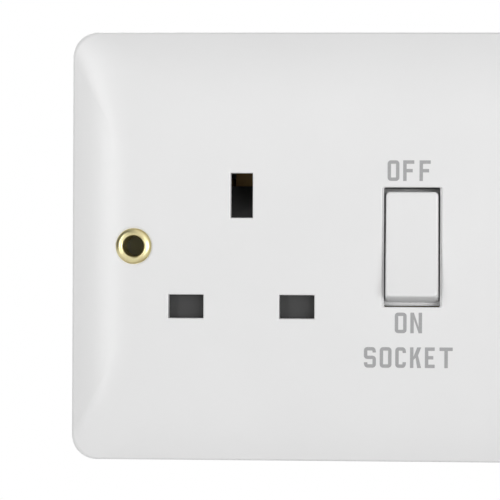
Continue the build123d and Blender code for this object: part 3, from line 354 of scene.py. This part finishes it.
def rolled_brass(name, rgb, tarnish, roughness):
    """Sheet brass: rolling lines along X, dull patches and a few fine pits."""
    material, start, feed = new_finish(name, {"Metallic": 1.0})
    lines = start.noise(scale=2600.0, detail=3.0, stretch=(0.03, 1.0, 1.0))
    patches = start.noise(scale=240.0, detail=4.0).ramp((0.42, 0.0), (0.72, 1.0))
    pits = start.noise(scale=3800.0, detail=1.0).ramp((0.66, 0.0), (0.74, 1.0))
    dull = patches * 0.55 + pits * 0.25
    feed("Base Color", dull.mix(opaque(rgb), opaque(tarnish)))
    feed("Roughness", roughness + 0.10 * lines + 0.16 * dull)
    feed("Normal", lines.bump(FINE_RELIEF))
    return material


def drawn_brass(name, rgb, tarnish, roughness):
    """Pale brass of a drawn eyelet: rings about its bore, a faint stain and fine scuffs."""
    material, start, feed = new_finish(name, {"Metallic": 1.0})
    place = start.node("ShaderNodeTexCoord", out="Object")
    across = start.node("ShaderNodeSeparateXYZ", inputs={0: place}, out="X")
    tall = start.node("ShaderNodeSeparateXYZ", inputs={0: place}, out="Z")
    # The eyelets stand as far to the left as to the right, so one distance serves both
    aside = start.maths("ABSOLUTE", across) - abs(middle(EYELETS[0]).x)
    radius = start.maths("SQRT", aside * aside + tall * tall)
    rings = start.node("ShaderNodeTexNoise", {"noise_dimensions": "1D"}, {"W": radius, "Scale": 6000.0})
    stain = start.noise(scale=420.0, detail=4.0).ramp((0.45, 0.0), (0.75, 1.0))
    scuffs = start.noise(scale=3000.0, detail=2.0)
    feed("Base Color", (stain * 0.35).mix(opaque(rgb), opaque(tarnish)))
    feed("Roughness", roughness + 0.08 * scuffs + 0.10 * stain)
    feed("Normal", rings.bump(FINE_RELIEF))
    return material


def zinc_plate(name, rgb, roughness):
    """Zinc plating: a cloudy passivated film, warmer where it is thick, over faint drawn lines."""
    material, start, feed = new_finish(name, {"Metallic": 1.0})
    film = start.noise(scale=320.0, detail=4.0)
    lines = start.noise(scale=3200.0, detail=2.0, stretch=(0.04, 1.0, 1.0))
    warm = (rgb[0] * 1.12, rgb[1] * 1.1, rgb[2], 1.0)
    feed("Base Color", film.mix(opaque(rgb, level=0.86), warm))
    feed("Roughness", roughness + 0.14 * film + 0.06 * lines)
    feed("Normal", lines.bump(FINE_RELIEF))
    return material


def drawn_wire(name, rgb):
    """Bright spring wire with fine die marks."""
    material, start, feed = new_finish(name, {"Metallic": 1.0})
    marks = start.noise(scale=5200.0, detail=3.0)
    feed("Base Color", marks.mix(opaque(rgb, level=0.8), opaque(rgb, level=1.25)))
    feed("Roughness", 0.2 + 0.16 * marks)
    feed("Normal", marks.bump(WIRE_RELIEF))
    return material


def printed_ink(name, rgb):
    """Pad-printed ink: nearly even, with the faint mottle of the film."""
    material, start, feed = new_finish(name, {"IOR": 1.45})
    mottle = start.noise(scale=2400.0, detail=3.0)
    feed("Base Color", mottle.mix(opaque(rgb, level=0.9), opaque(rgb, level=1.12)))
    feed("Roughness", 0.42 + 0.16 * mottle)
    feed("Normal", mottle.bump(FINE_RELIEF))
    return material


def mixed_surface(name):
    """A material with no shader yet, a wire to start from and a way to its surface."""
    material = bpy.data.materials.new(name)
    material.use_nodes = True
    tree = material.node_tree
    tree.nodes.remove(tree.nodes["Principled BSDF"])

    def show(wire):
        tree.links.new(wire.socket, tree.nodes["Material Output"].inputs["Surface"])

    return material, Wire(tree), show


def ray_kinds(start):
    """Wires that are one on rays straight from the camera, mirrored rays and refracted rays."""
    return [start.node("ShaderNodeLightPath", out=f"Is {kind} Ray")
            for kind in ("Camera", "Glossy", "Transmission")]


def seen_rays(start):
    """One for all the rays that see the surround."""
    camera, mirrored, refracted = ray_kinds(start)
    return start.maths("MAXIMUM", camera, start.maths("MAXIMUM", mirrored, refracted))


def in_slot(slot):
    """Names of the CAD nodes in a record slot."""
    return [name for name in NODES if SLOT_OF[name] == slot]


def dress(material, names):
    """Give CAD nodes their finish."""
    for name in names:
        NODES[name].material_slots[0].material = material


def finish_of(node):
    """The finish that a CAD node wears."""
    return NODES[node].material_slots[0].material


def middle(node):
    """Middle of a CAD node's box."""
    low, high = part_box(node)
    return (low + high) / 2


def spots(nodes):
    """How far across and up the middles of CAD nodes stand."""
    return [(middle(node).x, middle(node).z) for node in nodes]


def mesh_of(bm, name):
    """Mesh of a finished bmesh, which is freed."""
    mesh = bpy.data.meshes.new(name)
    bm.to_mesh(mesh)
    bm.free()
    return mesh


def in_scene(name, data):
    """Object of a mesh, light or camera, linked to the scene."""
    made = bpy.data.objects.new(name, data)
    bpy.context.scene.collection.objects.link(made)
    return made


def shade(mesh):
    """Smooth a mesh's faces and keep its edges sharp."""
    mesh.shade_smooth()
    mesh.set_sharp_from_angle(angle=SHARP_ANGLE)


def with_modifiers(holder):
    """Mesh of an object with its modifiers applied."""
    bpy.context.view_layer.update()
    return bpy.data.meshes.new_from_object(holder.evaluated_get(bpy.context.evaluated_depsgraph_get()))


def add_piece(bm, name, body, slot, material, *stands_for):
    """Make an object of a finished bmesh that rides on a body and stands for CAD nodes."""
    mesh = mesh_of(bm, name)
    mesh.materials.append(material)
    shade(mesh)
    piece = in_scene(name, mesh)
    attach(piece, body)
    if stands_for:
        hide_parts(*stands_for)
    return piece


def along(axis):
    """Rotation that takes Z to an axis."""
    return Vector((0.0, 0.0, 1.0)).rotation_difference(Vector(axis)).to_matrix().to_4x4()


def coil(outer_r, wire_r, tall, turns):
    """Compression spring from z 0 to its height, with a closed turn at each end."""
    bm = bmesh.new()
    tilt = Matrix.Translation((outer_r - wire_r, 0.0, wire_r)) @ Matrix.Rotation(math.pi / 2, 4, "X")
    bmesh.ops.create_circle(bm, segments=WIRE_SIDES, radius=wire_r, matrix=tilt)
    section = list(bm.verts) + list(bm.edges)
    end_rise = 2 * wire_r
    open_rise = tall - 2 * wire_r - 2 * end_rise
    for rise, count in ((end_rise, 1), (open_rise, turns), (end_rise, 1)):
        steps = COIL_STEPS * count
        spun = bmesh.ops.spin(bm, geom=section, cent=(0, 0, 0), axis=(0, 0, 1), angle=2 * math.pi * count,
                              steps=steps, dvec=(0, 0, rise / steps))
        section = spun["geom_last"]
    bmesh.ops.holes_fill(bm, edges=[edge for edge in bm.edges if edge.is_boundary])
    bmesh.ops.recalc_face_normals(bm, faces=bm.faces)
    return bm


def add_spring(node, joint, turns):
    """Round-wire spring in place of a CAD spring, closing up as its slide moves."""
    low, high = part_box(node)
    size = high - low
    push = Vector(JOINTS[joint]["axis"])
    upright = abs(push.z) > abs(push.y)
    outer_r = size.x / 2
    # A spring that leans a little has a box longer than itself, by the tilt of its end turns
    lean = abs(push.y if upright else push.z)
    reach = size.z if upright else size.y
    tall = (reach - 2 * outer_r * lean) / math.sqrt(1 - lean * lean)
    bm = coil(outer_r, outer_r * WIRE_SHARE, tall, turns)
    place = Matrix.Translation(middle(node) - push * tall / 2) @ along(push)
    bmesh.ops.transform(bm, matrix=place, verts=bm.verts)
    piece = add_piece(bm, f"{node}_wire", BODY_OF[node], SLOT_OF[node], finish_of(node), node)
    travel = JOINTS[joint]["range_m"][1]
    middle(node) + push * tall / 2
    1 - travel / tall
    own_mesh(piece)


def thread(bm, outer_r, tall, pitch):
    """Add a closed V-threaded shank that stands on z 0: a zigzag line that rises one pitch in one turn."""
    depth = THREAD_SHARE * pitch
    # The zigzag starts below the shank and ends above it, and is trimmed at both ends
    ridges = math.ceil(tall / pitch) + 2
    start = -1.5 * pitch
    line = []
    for step in range(2 * ridges + 1):
        radius = outer_r - depth * (step % 2)
        line.append(bm.verts.new((radius, 0.0, start + step * pitch / 2)))
    edges = [bm.edges.new(pair) for pair in zip(line, line[1:])]
    bmesh.ops.spin(bm, geom=line + edges, cent=(0, 0, 0), axis=(0, 0, 1), angle=2 * math.pi,
                   steps=THREAD_STEPS, dvec=(0, 0, pitch / THREAD_STEPS))
    # After its turn each ridge meets the start of the next
    bmesh.ops.remove_doubles(bm, verts=bm.verts, dist=WELD)
    for level, outward in ((0.0, -1.0), (tall, 1.0)):
        geom = list(bm.verts) + list(bm.edges) + list(bm.faces)
        bmesh.ops.bisect_plane(bm, geom=geom, dist=WELD, plane_co=(0, 0, level), plane_no=(0, 0, outward),
                               clear_outer=True)
    bmesh.ops.holes_fill(bm, edges=[edge for edge in bm.edges if edge.is_boundary])


def turned(bm, profile):
    """Add a solid of revolution about Z from its half profile, from axis to axis."""
    line = [bm.verts.new((radius, 0.0, level)) for radius, level in profile]
    edges = [bm.edges.new(pair) for pair in zip(line, line[1:])]
    bmesh.ops.spin(bm, geom=line + edges, cent=(0, 0, 0), axis=(0, 0, 1), angle=2 * math.pi,
                   steps=HEAD_STEPS, use_merge=True)
    bmesh.ops.remove_doubles(bm, verts=bm.verts, dist=WELD)


def cut_slots(piece, cutters):
    """Cut screwdriver slots out of a piece with boxes."""
    tool_mesh = mesh_of(cutters, "slot_cutter")
    tool = in_scene("slot_cutter", tool_mesh)
    cut = piece.modifiers.new("Slots", "BOOLEAN")
    cut.operation = "DIFFERENCE"
    cut.solver = "EXACT"
    cut.object = tool
    result = with_modifiers(piece)
    piece.modifiers.clear()
    result.materials.clear()
    result.materials.append(piece.data.materials[0])
    shade(result)
    piece.data = result
    bpy.data.objects.remove(tool)
    bpy.data.meshes.remove(tool_mesh)


def add_screws(node, places, shank_r, look, head_r=0.0, head_h=0.0):
    """Slotted screws in place of a CAD node of screws, heads to the rear; no head makes a grub screw."""
    low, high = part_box(node)
    long = high.y - low.y
    shank = long - head_h
    screws = bmesh.new()
    cutters = bmesh.new()
    for count, (x, z) in enumerate(places):
        one = bmesh.new()
        thread(one, shank_r, shank, look.thread_pitch)
        if head_h:
            crown = [(head_r * out, shank + head_h * up) for out, up in HEAD_PROFILE]
            turned(one, [(0.0, shank), *crown, (0.0, long)])
        bmesh.ops.recalc_face_normals(one, faces=one.faces)
        place = (Matrix.Translation((x, low.y, z)) @ Matrix.Rotation(-math.pi / 2, 4, "X")
                 @ Matrix.Rotation(FIRST_SLOT + SLOT_TURN * count, 4, "Z"))
        bmesh.ops.transform(one, matrix=place, verts=one.verts)
        finished = mesh_of(one, "one_screw")
        screws.from_mesh(finished)
        bpy.data.meshes.remove(finished)
        blade = (4 * max(head_r, shank_r), look.slot_width, 2 * look.slot_depth, 1.0)
        sunk = place @ Matrix.Translation((0.0, 0.0, long)) @ Matrix.Diagonal(blade)
        bmesh.ops.create_cube(cutters, size=1.0, matrix=sunk)
    piece = add_piece(screws, f"{node}_cut", BODY_OF[node], SLOT_OF[node], finish_of(node), node)
    cut_slots(piece, cutters)


def outline_points(letter, wide, tall, stroke):
    """Corners of a straight-sided capital, from its lower left and round to the right."""
    half = (tall - stroke) / 2
    arm = wide * 0.86
    if letter == "E":
        return ((0, 0), (wide, 0), (wide, stroke), (stroke, stroke), (stroke, half), (arm, half),
                (arm, half + stroke), (stroke, half + stroke), (stroke, tall - stroke),
                (wide, tall - stroke), (wide, tall), (0, tall))
    if letter == "F":
        return ((0, 0), (stroke, 0), (stroke, half), (arm, half), (arm, half + stroke),
                (stroke, half + stroke), (stroke, tall - stroke), (wide, tall - stroke),
                (wide, tall), (0, tall))
    if letter == "L":
        return ((0, 0), (wide, 0), (wide, stroke), (stroke, stroke), (stroke, tall), (0, tall))
    if letter == "T":
        left = (wide - stroke) / 2
        return ((left, 0), (left + stroke, 0), (left + stroke, tall - stroke), (wide, tall - stroke),
                (wide, tall), (0, tall), (0, tall - stroke), (left, tall - stroke))
    if letter == "N":
        drop = stroke * 1.9
        return ((0, 0), (stroke, 0), (stroke, tall - drop), (wide - stroke, 0), (wide, 0), (wide, tall),
                (wide - stroke, tall), (wide - stroke, drop), (stroke, tall), (0, tall))
    if letter == "K":
        # The arm leaves the stem between its low and high corner, the leg leaves the arm from crotch to fork
        lean = stroke * 1.15
        crotch = stroke + lean * 0.55
        fork = crotch + lean * 0.62
        arm_low, arm_high = half - stroke * 0.2, half + stroke * 0.75
        return ((0, 0), (stroke, 0), (stroke, arm_low), (crotch, half + stroke * 0.45), (wide - lean, 0),
                (wide, 0), (fork, half + stroke * 1.15), (wide, tall), (wide - lean, tall),
                (stroke, arm_high), (stroke, tall), (0, tall))
    raise ValueError(f"no straight-sided capital {letter}")


def stroke_path(letter, wide, tall, stroke):
    """Control points of a round capital's centre line, and whether it closes."""
    left, right = stroke / 2, wide - stroke / 2
    base, top = stroke / 2, tall - stroke / 2
    mid = tall / 2
    turn = wide * 0.34
    if letter == "O":
        return ((left, base + turn), (left, top - turn), (left, top), (left + turn, top), (right - turn, top),
                (right, top), (right, top - turn), (right, base + turn), (right, base), (right - turn, base),
                (left + turn, base), (left, base)), True
    if letter == "C":
        hook = turn * 1.1
        return ((right, top - hook), (right, top), (right - turn, top), (left + turn, top), (left, top),
                (left, top - turn), (left, base + turn), (left, base), (left + turn, base),
                (right - turn, base), (right, base), (right, base + hook)), False
    if letter == "S":
        hook = turn * 0.9
        return ((right, top - hook), (right, top), (right - turn, top), (left + turn, top), (left, top),
                (left, top - turn), (left, mid), (left + turn, mid), (right - turn, mid), (right, mid),
                (right, base + turn), (right, base), (right - turn, base), (left + turn, base), (left, base),
                (left, base + hook)), False
    raise ValueError(f"no round capital {letter}")


def straight_letter(bm, corners, film, place):
    """Add a capital as a flat face raised to the film's thickness."""
    face = bm.faces.new([bm.verts.new((x, 0.0, z)) for x, z in corners])
    raised = bmesh.ops.extrude_face_region(bm, geom=[face])["geom"]
    lifted = [item for item in raised if isinstance(item, bmesh.types.BMVert)]
    bmesh.ops.translate(bm, verts=lifted, vec=(0.0, -film, 0.0))
    bmesh.ops.transform(bm, matrix=place, verts=list(face.verts) + lifted)


def centre_line(path, closed):
    """Bmesh of the smooth line that follows a path's control points."""
    curve = bpy.data.curves.new("stroke", "CURVE")
    curve.dimensions = "3D"
    curve.resolution_u = STROKE_STEPS
    spline = curve.splines.new("NURBS")
    spline.points.add(len(path) - 1)
    for point, (x, z) in zip(spline.points, path):
        point.co = (x, 0.0, z, 1.0)
    spline.use_cyclic_u = closed
    spline.order_u = 3
    spline.use_endpoint_u = not closed
    holder = bpy.data.objects.new("stroke", curve)
    line = bpy.data.meshes.new_from_object(holder)
    bpy.data.objects.remove(holder)
    bpy.data.curves.remove(curve)
    bm = bmesh.new()
    bm.from_mesh(line)
    bpy.data.meshes.remove(line)
    bmesh.ops.remove_doubles(bm, verts=bm.verts, dist=WELD)
    return bm


def round_letter(bm, path, closed, stroke, film, place):
    """Add a capital as a ribbon of the stroke's width along a smooth centre line."""
    ribbon = centre_line(path, closed)
    wall = bmesh.ops.extrude_edge_only(ribbon, edges=ribbon.edges)["geom"]
    lifted = [item for item in wall if isinstance(item, bmesh.types.BMVert)]
    bmesh.ops.translate(ribbon, verts=lifted, vec=(0.0, -film, 0.0))
    bmesh.ops.recalc_face_normals(ribbon, faces=ribbon.faces)
    ribbon_mesh = mesh_of(ribbon, "ribbon")
    holder = in_scene("ribbon", ribbon_mesh)
    thick = holder.modifiers.new("Stroke", "SOLIDIFY")
    thick.thickness = stroke
    thick.offset = 0.0
    thick.use_even_offset = True
    solid = with_modifiers(holder)
    solid.transform(place)
    bm.from_mesh(solid)
    bpy.data.objects.remove(holder)
    bpy.data.meshes.remove(ribbon_mesh)
    bpy.data.meshes.remove(solid)


def add_word(bm, word, centre_x, base_z, look):
    """Add a word of capitals on the plate's face, centred on x, standing on a base line."""
    wide = sum(LETTER_WIDTHS[letter] for letter in word)
    gaps = sum(LETTER_GAPS.get(letter, USUAL_GAP) for letter in word[:-1])
    x = centre_x - (wide + gaps) * MM / 2
    for letter in word:
        width = LETTER_WIDTHS[letter] * MM
        place = Matrix.Translation((x, PLATE_LOW.y, base_z))
        if letter in ROUND_LETTERS:
            path, closed = stroke_path(letter, width, look.cap_height, look.stroke)
            round_letter(bm, path, closed, look.stroke, look.film, place)
        else:
            corners = outline_points(letter, width, look.cap_height, look.stroke)
            straight_letter(bm, corners, look.film, place)
        x += width + LETTER_GAPS.get(letter, USUAL_GAP) * MM


def on_housing(x, foot, outward):
    """Place of a mark on the housing's top, or on its underside, that is read from behind."""
    # Seen from behind, the mark runs to the right along -X and its head is up on either face
    level = HOUSING_HIGH.z if outward > 0 else HOUSING_LOW.z
    faced = Matrix(((-1, 0, 0), (0, 0, -outward), (0, -outward, 0))).to_4x4()
    return Matrix.Translation((x, foot, level)) @ faced


class COOKER_UNIT_OT_mouldings(Operator):
    """Finish the plate, rockers, housing, shutter and plungers as moulded plastic"""

    bl_idname = "cooker_unit.mouldings"
    bl_label = "Mouldings"

    def execute(self, context):
        look = context.scene.cooker_unit_plastics
        # Slot, finish, colour, roughness, and the depths of the peel and the grain in millimetres
        finishes = (
            ("white_plastic", "white_gloss", look.white, look.gloss, 0.006, 0.001),
            ("red_plastic", "red_gloss", look.red, look.gloss, 0.006, 0.001),
            ("housing_plastic", "housing_satin", look.housing, look.satin, 0.008, 0.010),
            ("shutter_plastic", "shutter_satin", look.shutter, look.satin, 0.006, 0.008),
            ("plunger_plastic", "nylon_satin", look.nylon, look.satin, 0.004, 0.004),
        )
        for slot, name, rgb, roughness, peel, grain in finishes:
            dress(moulded_plastic(name, rgb, roughness, peel * MM, grain * MM), in_slot(slot))
        return {"FINISHED"}


class COOKER_UNIT_OT_metalwork(Operator):
    """Finish the eyelets, contacts and terminals in brass, the strap in zinc and the springs as wire"""

    bl_idname = "cooker_unit.metalwork"
    bl_label = "Metalwork"

    def execute(self, context):
        look = context.scene.cooker_unit_metals
        dress(rolled_brass("terminal_brass", look.brass, look.tarnish, look.brass_polish), in_slot("brass"))
        # The pin contacts wear a much darker copy of the brass: painted shade for their place deep inside the
        # slots
        dress(rolled_brass("shaded_contact_brass", look.contact, look.tarnish, look.contact_polish), PIN_CONTACTS)
        dress(drawn_brass("eyelet_brass", look.eyelet, look.tarnish, look.eyelet_polish), EYELETS)
        dress(zinc_plate("strap_zinc", look.zinc, look.zinc_polish), in_slot("plated_steel"))
        dress(drawn_wire("spring_wire", look.wire), in_slot("spring_steel"))
        return {"FINISHED"}


class COOKER_UNIT_OT_springs(Operator):
    """Wind round-wire springs behind the plungers and under the shutter"""

    bl_idname = "cooker_unit.springs"
    bl_label = "Springs"

    def execute(self, context):
        look = context.scene.cooker_unit_metals
        for sprung in (*PLUNGERS, "shutter"):
            add_spring(f"{sprung}_spring", f"{sprung}_slide", look.spring_turns)
        return {"FINISHED"}


class COOKER_UNIT_OT_screws(Operator):
    """Cut threads and slots on the terminal, earth and housing screws"""

    bl_idname = "cooker_unit.screws"
    bl_label = "Screws"

    def execute(self, context):
        look = context.scene.cooker_unit_metals
        places = spots(node for pair in TERMINALS.values() for node in pair)
        shank_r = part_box("terminal_screws")[1].x - max(x for x, z in places)
        add_screws("terminal_screws", places, shank_r, look)

        low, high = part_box("earth_screws")
        add_screws("earth_screws", spots(EARTH_TERMINALS), (high.z - low.z) / 2, look)

        low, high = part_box("housing_screws")
        head_r = look.head_radius
        sides = (low.x + head_r, high.x - head_r)
        levels = (low.z + head_r, high.z - head_r)
        places = [(x, z) for x in sides for z in levels]
        add_screws("housing_screws", places, look.shank_radius, look, head_r, look.head_height)
        return {"FINISHED"}


class COOKER_UNIT_OT_lettering(Operator):
    """Print OFF, ON and SOCKET beside the socket switch"""

    bl_idname = "cooker_unit.lettering"
    bl_label = "Lettering"

    def execute(self, context):
        look = context.scene.cooker_unit_lettering
        rocker = middle("socket_rocker")
        words = (("OFF", look.off_rise), ("ON", -look.on_drop), ("SOCKET", -look.socket_drop))
        ink = printed_ink("grey_ink", look.ink)
        for word, base_z in words:
            bm = bmesh.new()
            add_word(bm, word, rocker.x - look.shift, base_z, look)
            bmesh.ops.recalc_face_normals(bm, faces=bm.faces)
            add_piece(bm, f"print_{word.lower()}", "unit", "white_plastic", ink)
        return {"FINISHED"}


class COOKER_UNIT_OT_marks(Operator):
    """Raise the live, neutral and earth marks of the housing's mould"""

    bl_idname = "cooker_unit.marks"
    bl_label = "Terminal marks"

    def execute(self, context):
        look = context.scene.cooker_unit_lettering
        bm = bmesh.new()
        self.add_letters(bm, look)
        self.add_earth_symbol(bm, look)
        bmesh.ops.recalc_face_normals(bm, faces=bm.faces)
        add_piece(bm, "terminal_marks", "unit", SLOT_OF["rear_housing"], finish_of("rear_housing"))
        return {"FINISHED"}

    def add_letters(self, bm, look):
        """A letter beside the cable hole of each main terminal."""
        tall = look.mark_height
        wide = tall * MARK_SHAPE
        for letter, nodes in TERMINALS.items():
            corners = outline_points(letter, wide, tall, look.mark_stroke)
            for node in nodes:
                spot = middle(node)
                outward = math.copysign(1.0, spot.z)
                foot = spot.y - look.mark_reach - (0.0 if outward > 0 else tall)
                straight_letter(bm, corners, look.mark_rise, on_housing(spot.x + wide / 2, foot, outward))

    def add_earth_symbol(self, bm, look):
        """A stem on three bars, each shorter than the one above, on the housing by the earth terminals."""
        tall, stroke = look.mark_height, look.mark_stroke * EARTH_STROKE
        centre = sum(middle(node).x for node in EARTH_TERMINALS) / len(EARTH_TERMINALS)
        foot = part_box(EARTH_TERMINALS[0])[1].y + tall
        place = on_housing(centre, foot, 1.0)
        levels = [tall * EARTH_PITCH * count for count in range(len(EARTH_BARS))]
        strips = [(tall * bar, level, level + stroke) for level, bar in zip(levels, EARTH_BARS)]
        strips.append((stroke, levels[-1] + stroke, tall))
        for wide, low, high in strips:
            corners = ((-wide / 2, low), (wide / 2, low), (wide / 2, high), (-wide / 2, high))
            straight_letter(bm, corners, look.mark_rise, place)


class COOKER_UNIT_OT_stage(Operator):
    """Set the floor, the soft lights, the white surround and the camera"""

    bl_idname = "cooker_unit.stage"
    bl_label = "Stage"

    def execute(self, context):
        look = context.scene.cooker_unit_stage
        scene = context.scene
        scene.view_settings.view_transform = "Standard"
        self.add_floor(look)
        self.light_world(scene, look)
        self.add_light("Key", KEY_PLACE, KEY_SIZE, look.key)
        self.add_light("Fill", FILL_PLACE, FILL_SIZE, look.fill)
        self.add_light("Back", BACK_PLACE, BACK_SIZE, look.back)
        self.paint_hole_shade(look)
        self.add_camera(scene, look)
        return {"FINISHED"}

    def add_floor(self, look):
        """A pale disc under the plate that fades to white, with the shadows kept."""
        material, start, show = mixed_surface("pale_floor")
        place = start.node("ShaderNodeTexCoord", out="Object")
        flat = start.node("ShaderNodeVectorMath", {"operation": "MULTIPLY"}, {0: place, 1: (1.0, 1.0, 0.0)})
        reach = start.node("ShaderNodeVectorMath", {"operation": "LENGTH"}, {0: flat}, out="Value")
        fade = start.node("ShaderNodeMapRange", {"interpolation_type": "SMOOTHSTEP"},
                          {"Value": reach, "From Min": look.floor_radius * FADE_FROM,
                           "From Max": look.floor_radius * FADE_TO})
        white_share = seen_rays(start) * (look.lift + (1.0 - look.lift) * fade)
        matt = start.node("ShaderNodeBsdfDiffuse", inputs={"Color": opaque(look.floor)})
        white = start.node("ShaderNodeEmission", inputs={"Color": WHITE, "Strength": 1.0})
        show(start.node("ShaderNodeMixShader", inputs={0: white_share, 1: matt, 2: white}))

        bm = bmesh.new()
        below = Matrix.Translation((0.0, 0.0, PLATE_LOW.z - look.floor_gap))
        bmesh.ops.create_circle(bm, cap_ends=True, segments=FLOOR_SIDES, radius=look.floor_radius,
                                matrix=below)
        mesh = mesh_of(bm, "floor")
        mesh.materials.append(material)
        in_scene("floor", mesh)

    def light_world(self, scene, look):
        """A soft dome that lights the part, in a white surround that the camera and metal see."""
        scene.world = bpy.data.worlds.new("surround")
        scene.world.use_nodes = True
        tree = scene.world.node_tree
        start = Wire(tree)
        camera, mirrored, refracted = ray_kinds(start)
        direct = start.maths("MAXIMUM", camera, refracted)
        way = start.node("ShaderNodeTexCoord", out="Generated")
        facing = start.node("ShaderNodeVectorMath", {"operation": "DOT_PRODUCT"}, {0: way, 1: DIM_SIDE},
                            out="Value")
        mirror_level = start.node("ShaderNodeMapRange", {"interpolation_type": "SMOOTHSTEP"},
                                  {"Value": facing, "From Min": DIM_FROM, "From Max": DIM_TO,
                                   "To Min": 1.0, "To Max": look.dim_side})
        rise = start.node("ShaderNodeSeparateXYZ", inputs={0: way}, out="Z")
        dome = look.sky * (1.0 - look.overhead * rise)
        strength = dome + (1.0 - dome) * direct + (mirror_level - dome) * mirrored
        background = tree.nodes["Background"]
        background.inputs["Color"].default_value = WHITE
        tree.links.new(strength.socket, background.inputs["Strength"])

    def paint_hole_shade(self, look):
        """Discs behind the eyelets, so that their holes are dark from the front and clear from behind."""
        material, start, show = mixed_surface("painted_hole_shade")
        behind = start.node("ShaderNodeNewGeometry", out="Backfacing")
        # Painted shade: a dark matt face where the holes would only be in shade
        dark = start.node("ShaderNodeBsdfDiffuse", inputs={"Color": opaque(look.hole_shade_colour)})
        clear = start.node("ShaderNodeBsdfTransparent")
        show(start.node("ShaderNodeMixShader", inputs={0: behind, 1: dark, 2: clear}))

        bm = bmesh.new()
        for node in EYELETS:
            low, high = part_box(node)
            back = Matrix.Translation((middle(node).x, high.y + look.hole_gap, middle(node).z))
            facing = back @ Matrix.Rotation(math.pi / 2, 4, "X")
            bmesh.ops.create_circle(bm, cap_ends=True, segments=DISC_SIDES, radius=(high.x - low.x) / 2,
                                    matrix=facing)
        mesh = mesh_of(bm, "painted_hole_shade")
        mesh.materials.append(material)
        in_scene("painted_hole_shade", mesh)

    def add_light(self, name, place, size, watts):
        """A rectangular soft light that faces the middle of the plate."""
        lamp = bpy.data.lights.new(name, "AREA")
        lamp.shape = "RECTANGLE"
        lamp.size, lamp.size_y = size
        lamp.energy = watts
        light = in_scene(name, lamp)
        light.location = place
        target = Vector((0.0, PLATE_LOW.y, 0.0))
        light.rotation_euler = (target - place).to_track_quat("-Z", "Y").to_euler()

    def add_camera(self, scene, look):
        """The camera in front of the plate, turned to the left half of it."""
        lens = bpy.data.cameras.new("Camera")
        lens.lens = look.lens
        camera = in_scene("Camera", lens)
        camera.matrix_world = (
            Matrix.Translation((0.0, -look.distance, look.height))
            @ Matrix.Rotation(look.yaw, 4, "Z")
            @ Matrix.Rotation(look.pitch, 4, "X")
            @ Matrix.Rotation(look.roll, 4, "Y")
            @ Matrix.Rotation(math.pi / 2, 4, "X")
        )
        scene.camera = camera


OPERATORS = (
    COOKER_UNIT_OT_mouldings,
    COOKER_UNIT_OT_metalwork,
    COOKER_UNIT_OT_springs,
    COOKER_UNIT_OT_screws,
    COOKER_UNIT_OT_lettering,
    COOKER_UNIT_OT_marks,
    COOKER_UNIT_OT_stage,
)

GROUPS = {
    "cooker_unit_plastics": CookerUnitPlastics,
    "cooker_unit_metals": CookerUnitMetals,
    "cooker_unit_lettering": CookerUnitLettering,
    "cooker_unit_stage": CookerUnitStage,
}


class COOKER_UNIT_PT_panel(Panel):
    """Lists the steps that finish the unit and the values that they use"""

    bl_idname = "COOKER_UNIT_PT_panel"
    bl_label = "Cooker Unit"
    bl_space_type = "VIEW_3D"
    bl_region_type = "UI"
    bl_category = "Cooker Unit"

    def draw(self, context):
        for step in OPERATORS:
            self.layout.operator(step.bl_idname)
        for name, group in GROUPS.items():
            column = self.layout.column(heading=group.__doc__)
            for field in group.__annotations__:
                column.prop(getattr(context.scene, name), field)


def register():
    for cls in (*GROUPS.values(), *OPERATORS, COOKER_UNIT_PT_panel):
        bpy.utils.register_class(cls)
    for name, group in GROUPS.items():
        setattr(bpy.types.Scene, name, PointerProperty(type=group))


def unregister():
    for name in GROUPS:
        delattr(bpy.types.Scene, name)
    for cls in (COOKER_UNIT_PT_panel, *OPERATORS, *GROUPS.values()):
        bpy.utils.unregister_class(cls)


def main():
    """Take the steps in order, and write the boxes of the CAD part and of the finished one."""
    register()
    bpy.ops.cooker_unit.mouldings()
    bpy.ops.cooker_unit.metalwork()
    bpy.ops.cooker_unit.springs()
    bpy.ops.cooker_unit.screws()
    bpy.ops.cooker_unit.lettering()
    bpy.ops.cooker_unit.marks()
    bpy.ops.cooker_unit.stage()


if __name__ == "__main__":
    main()
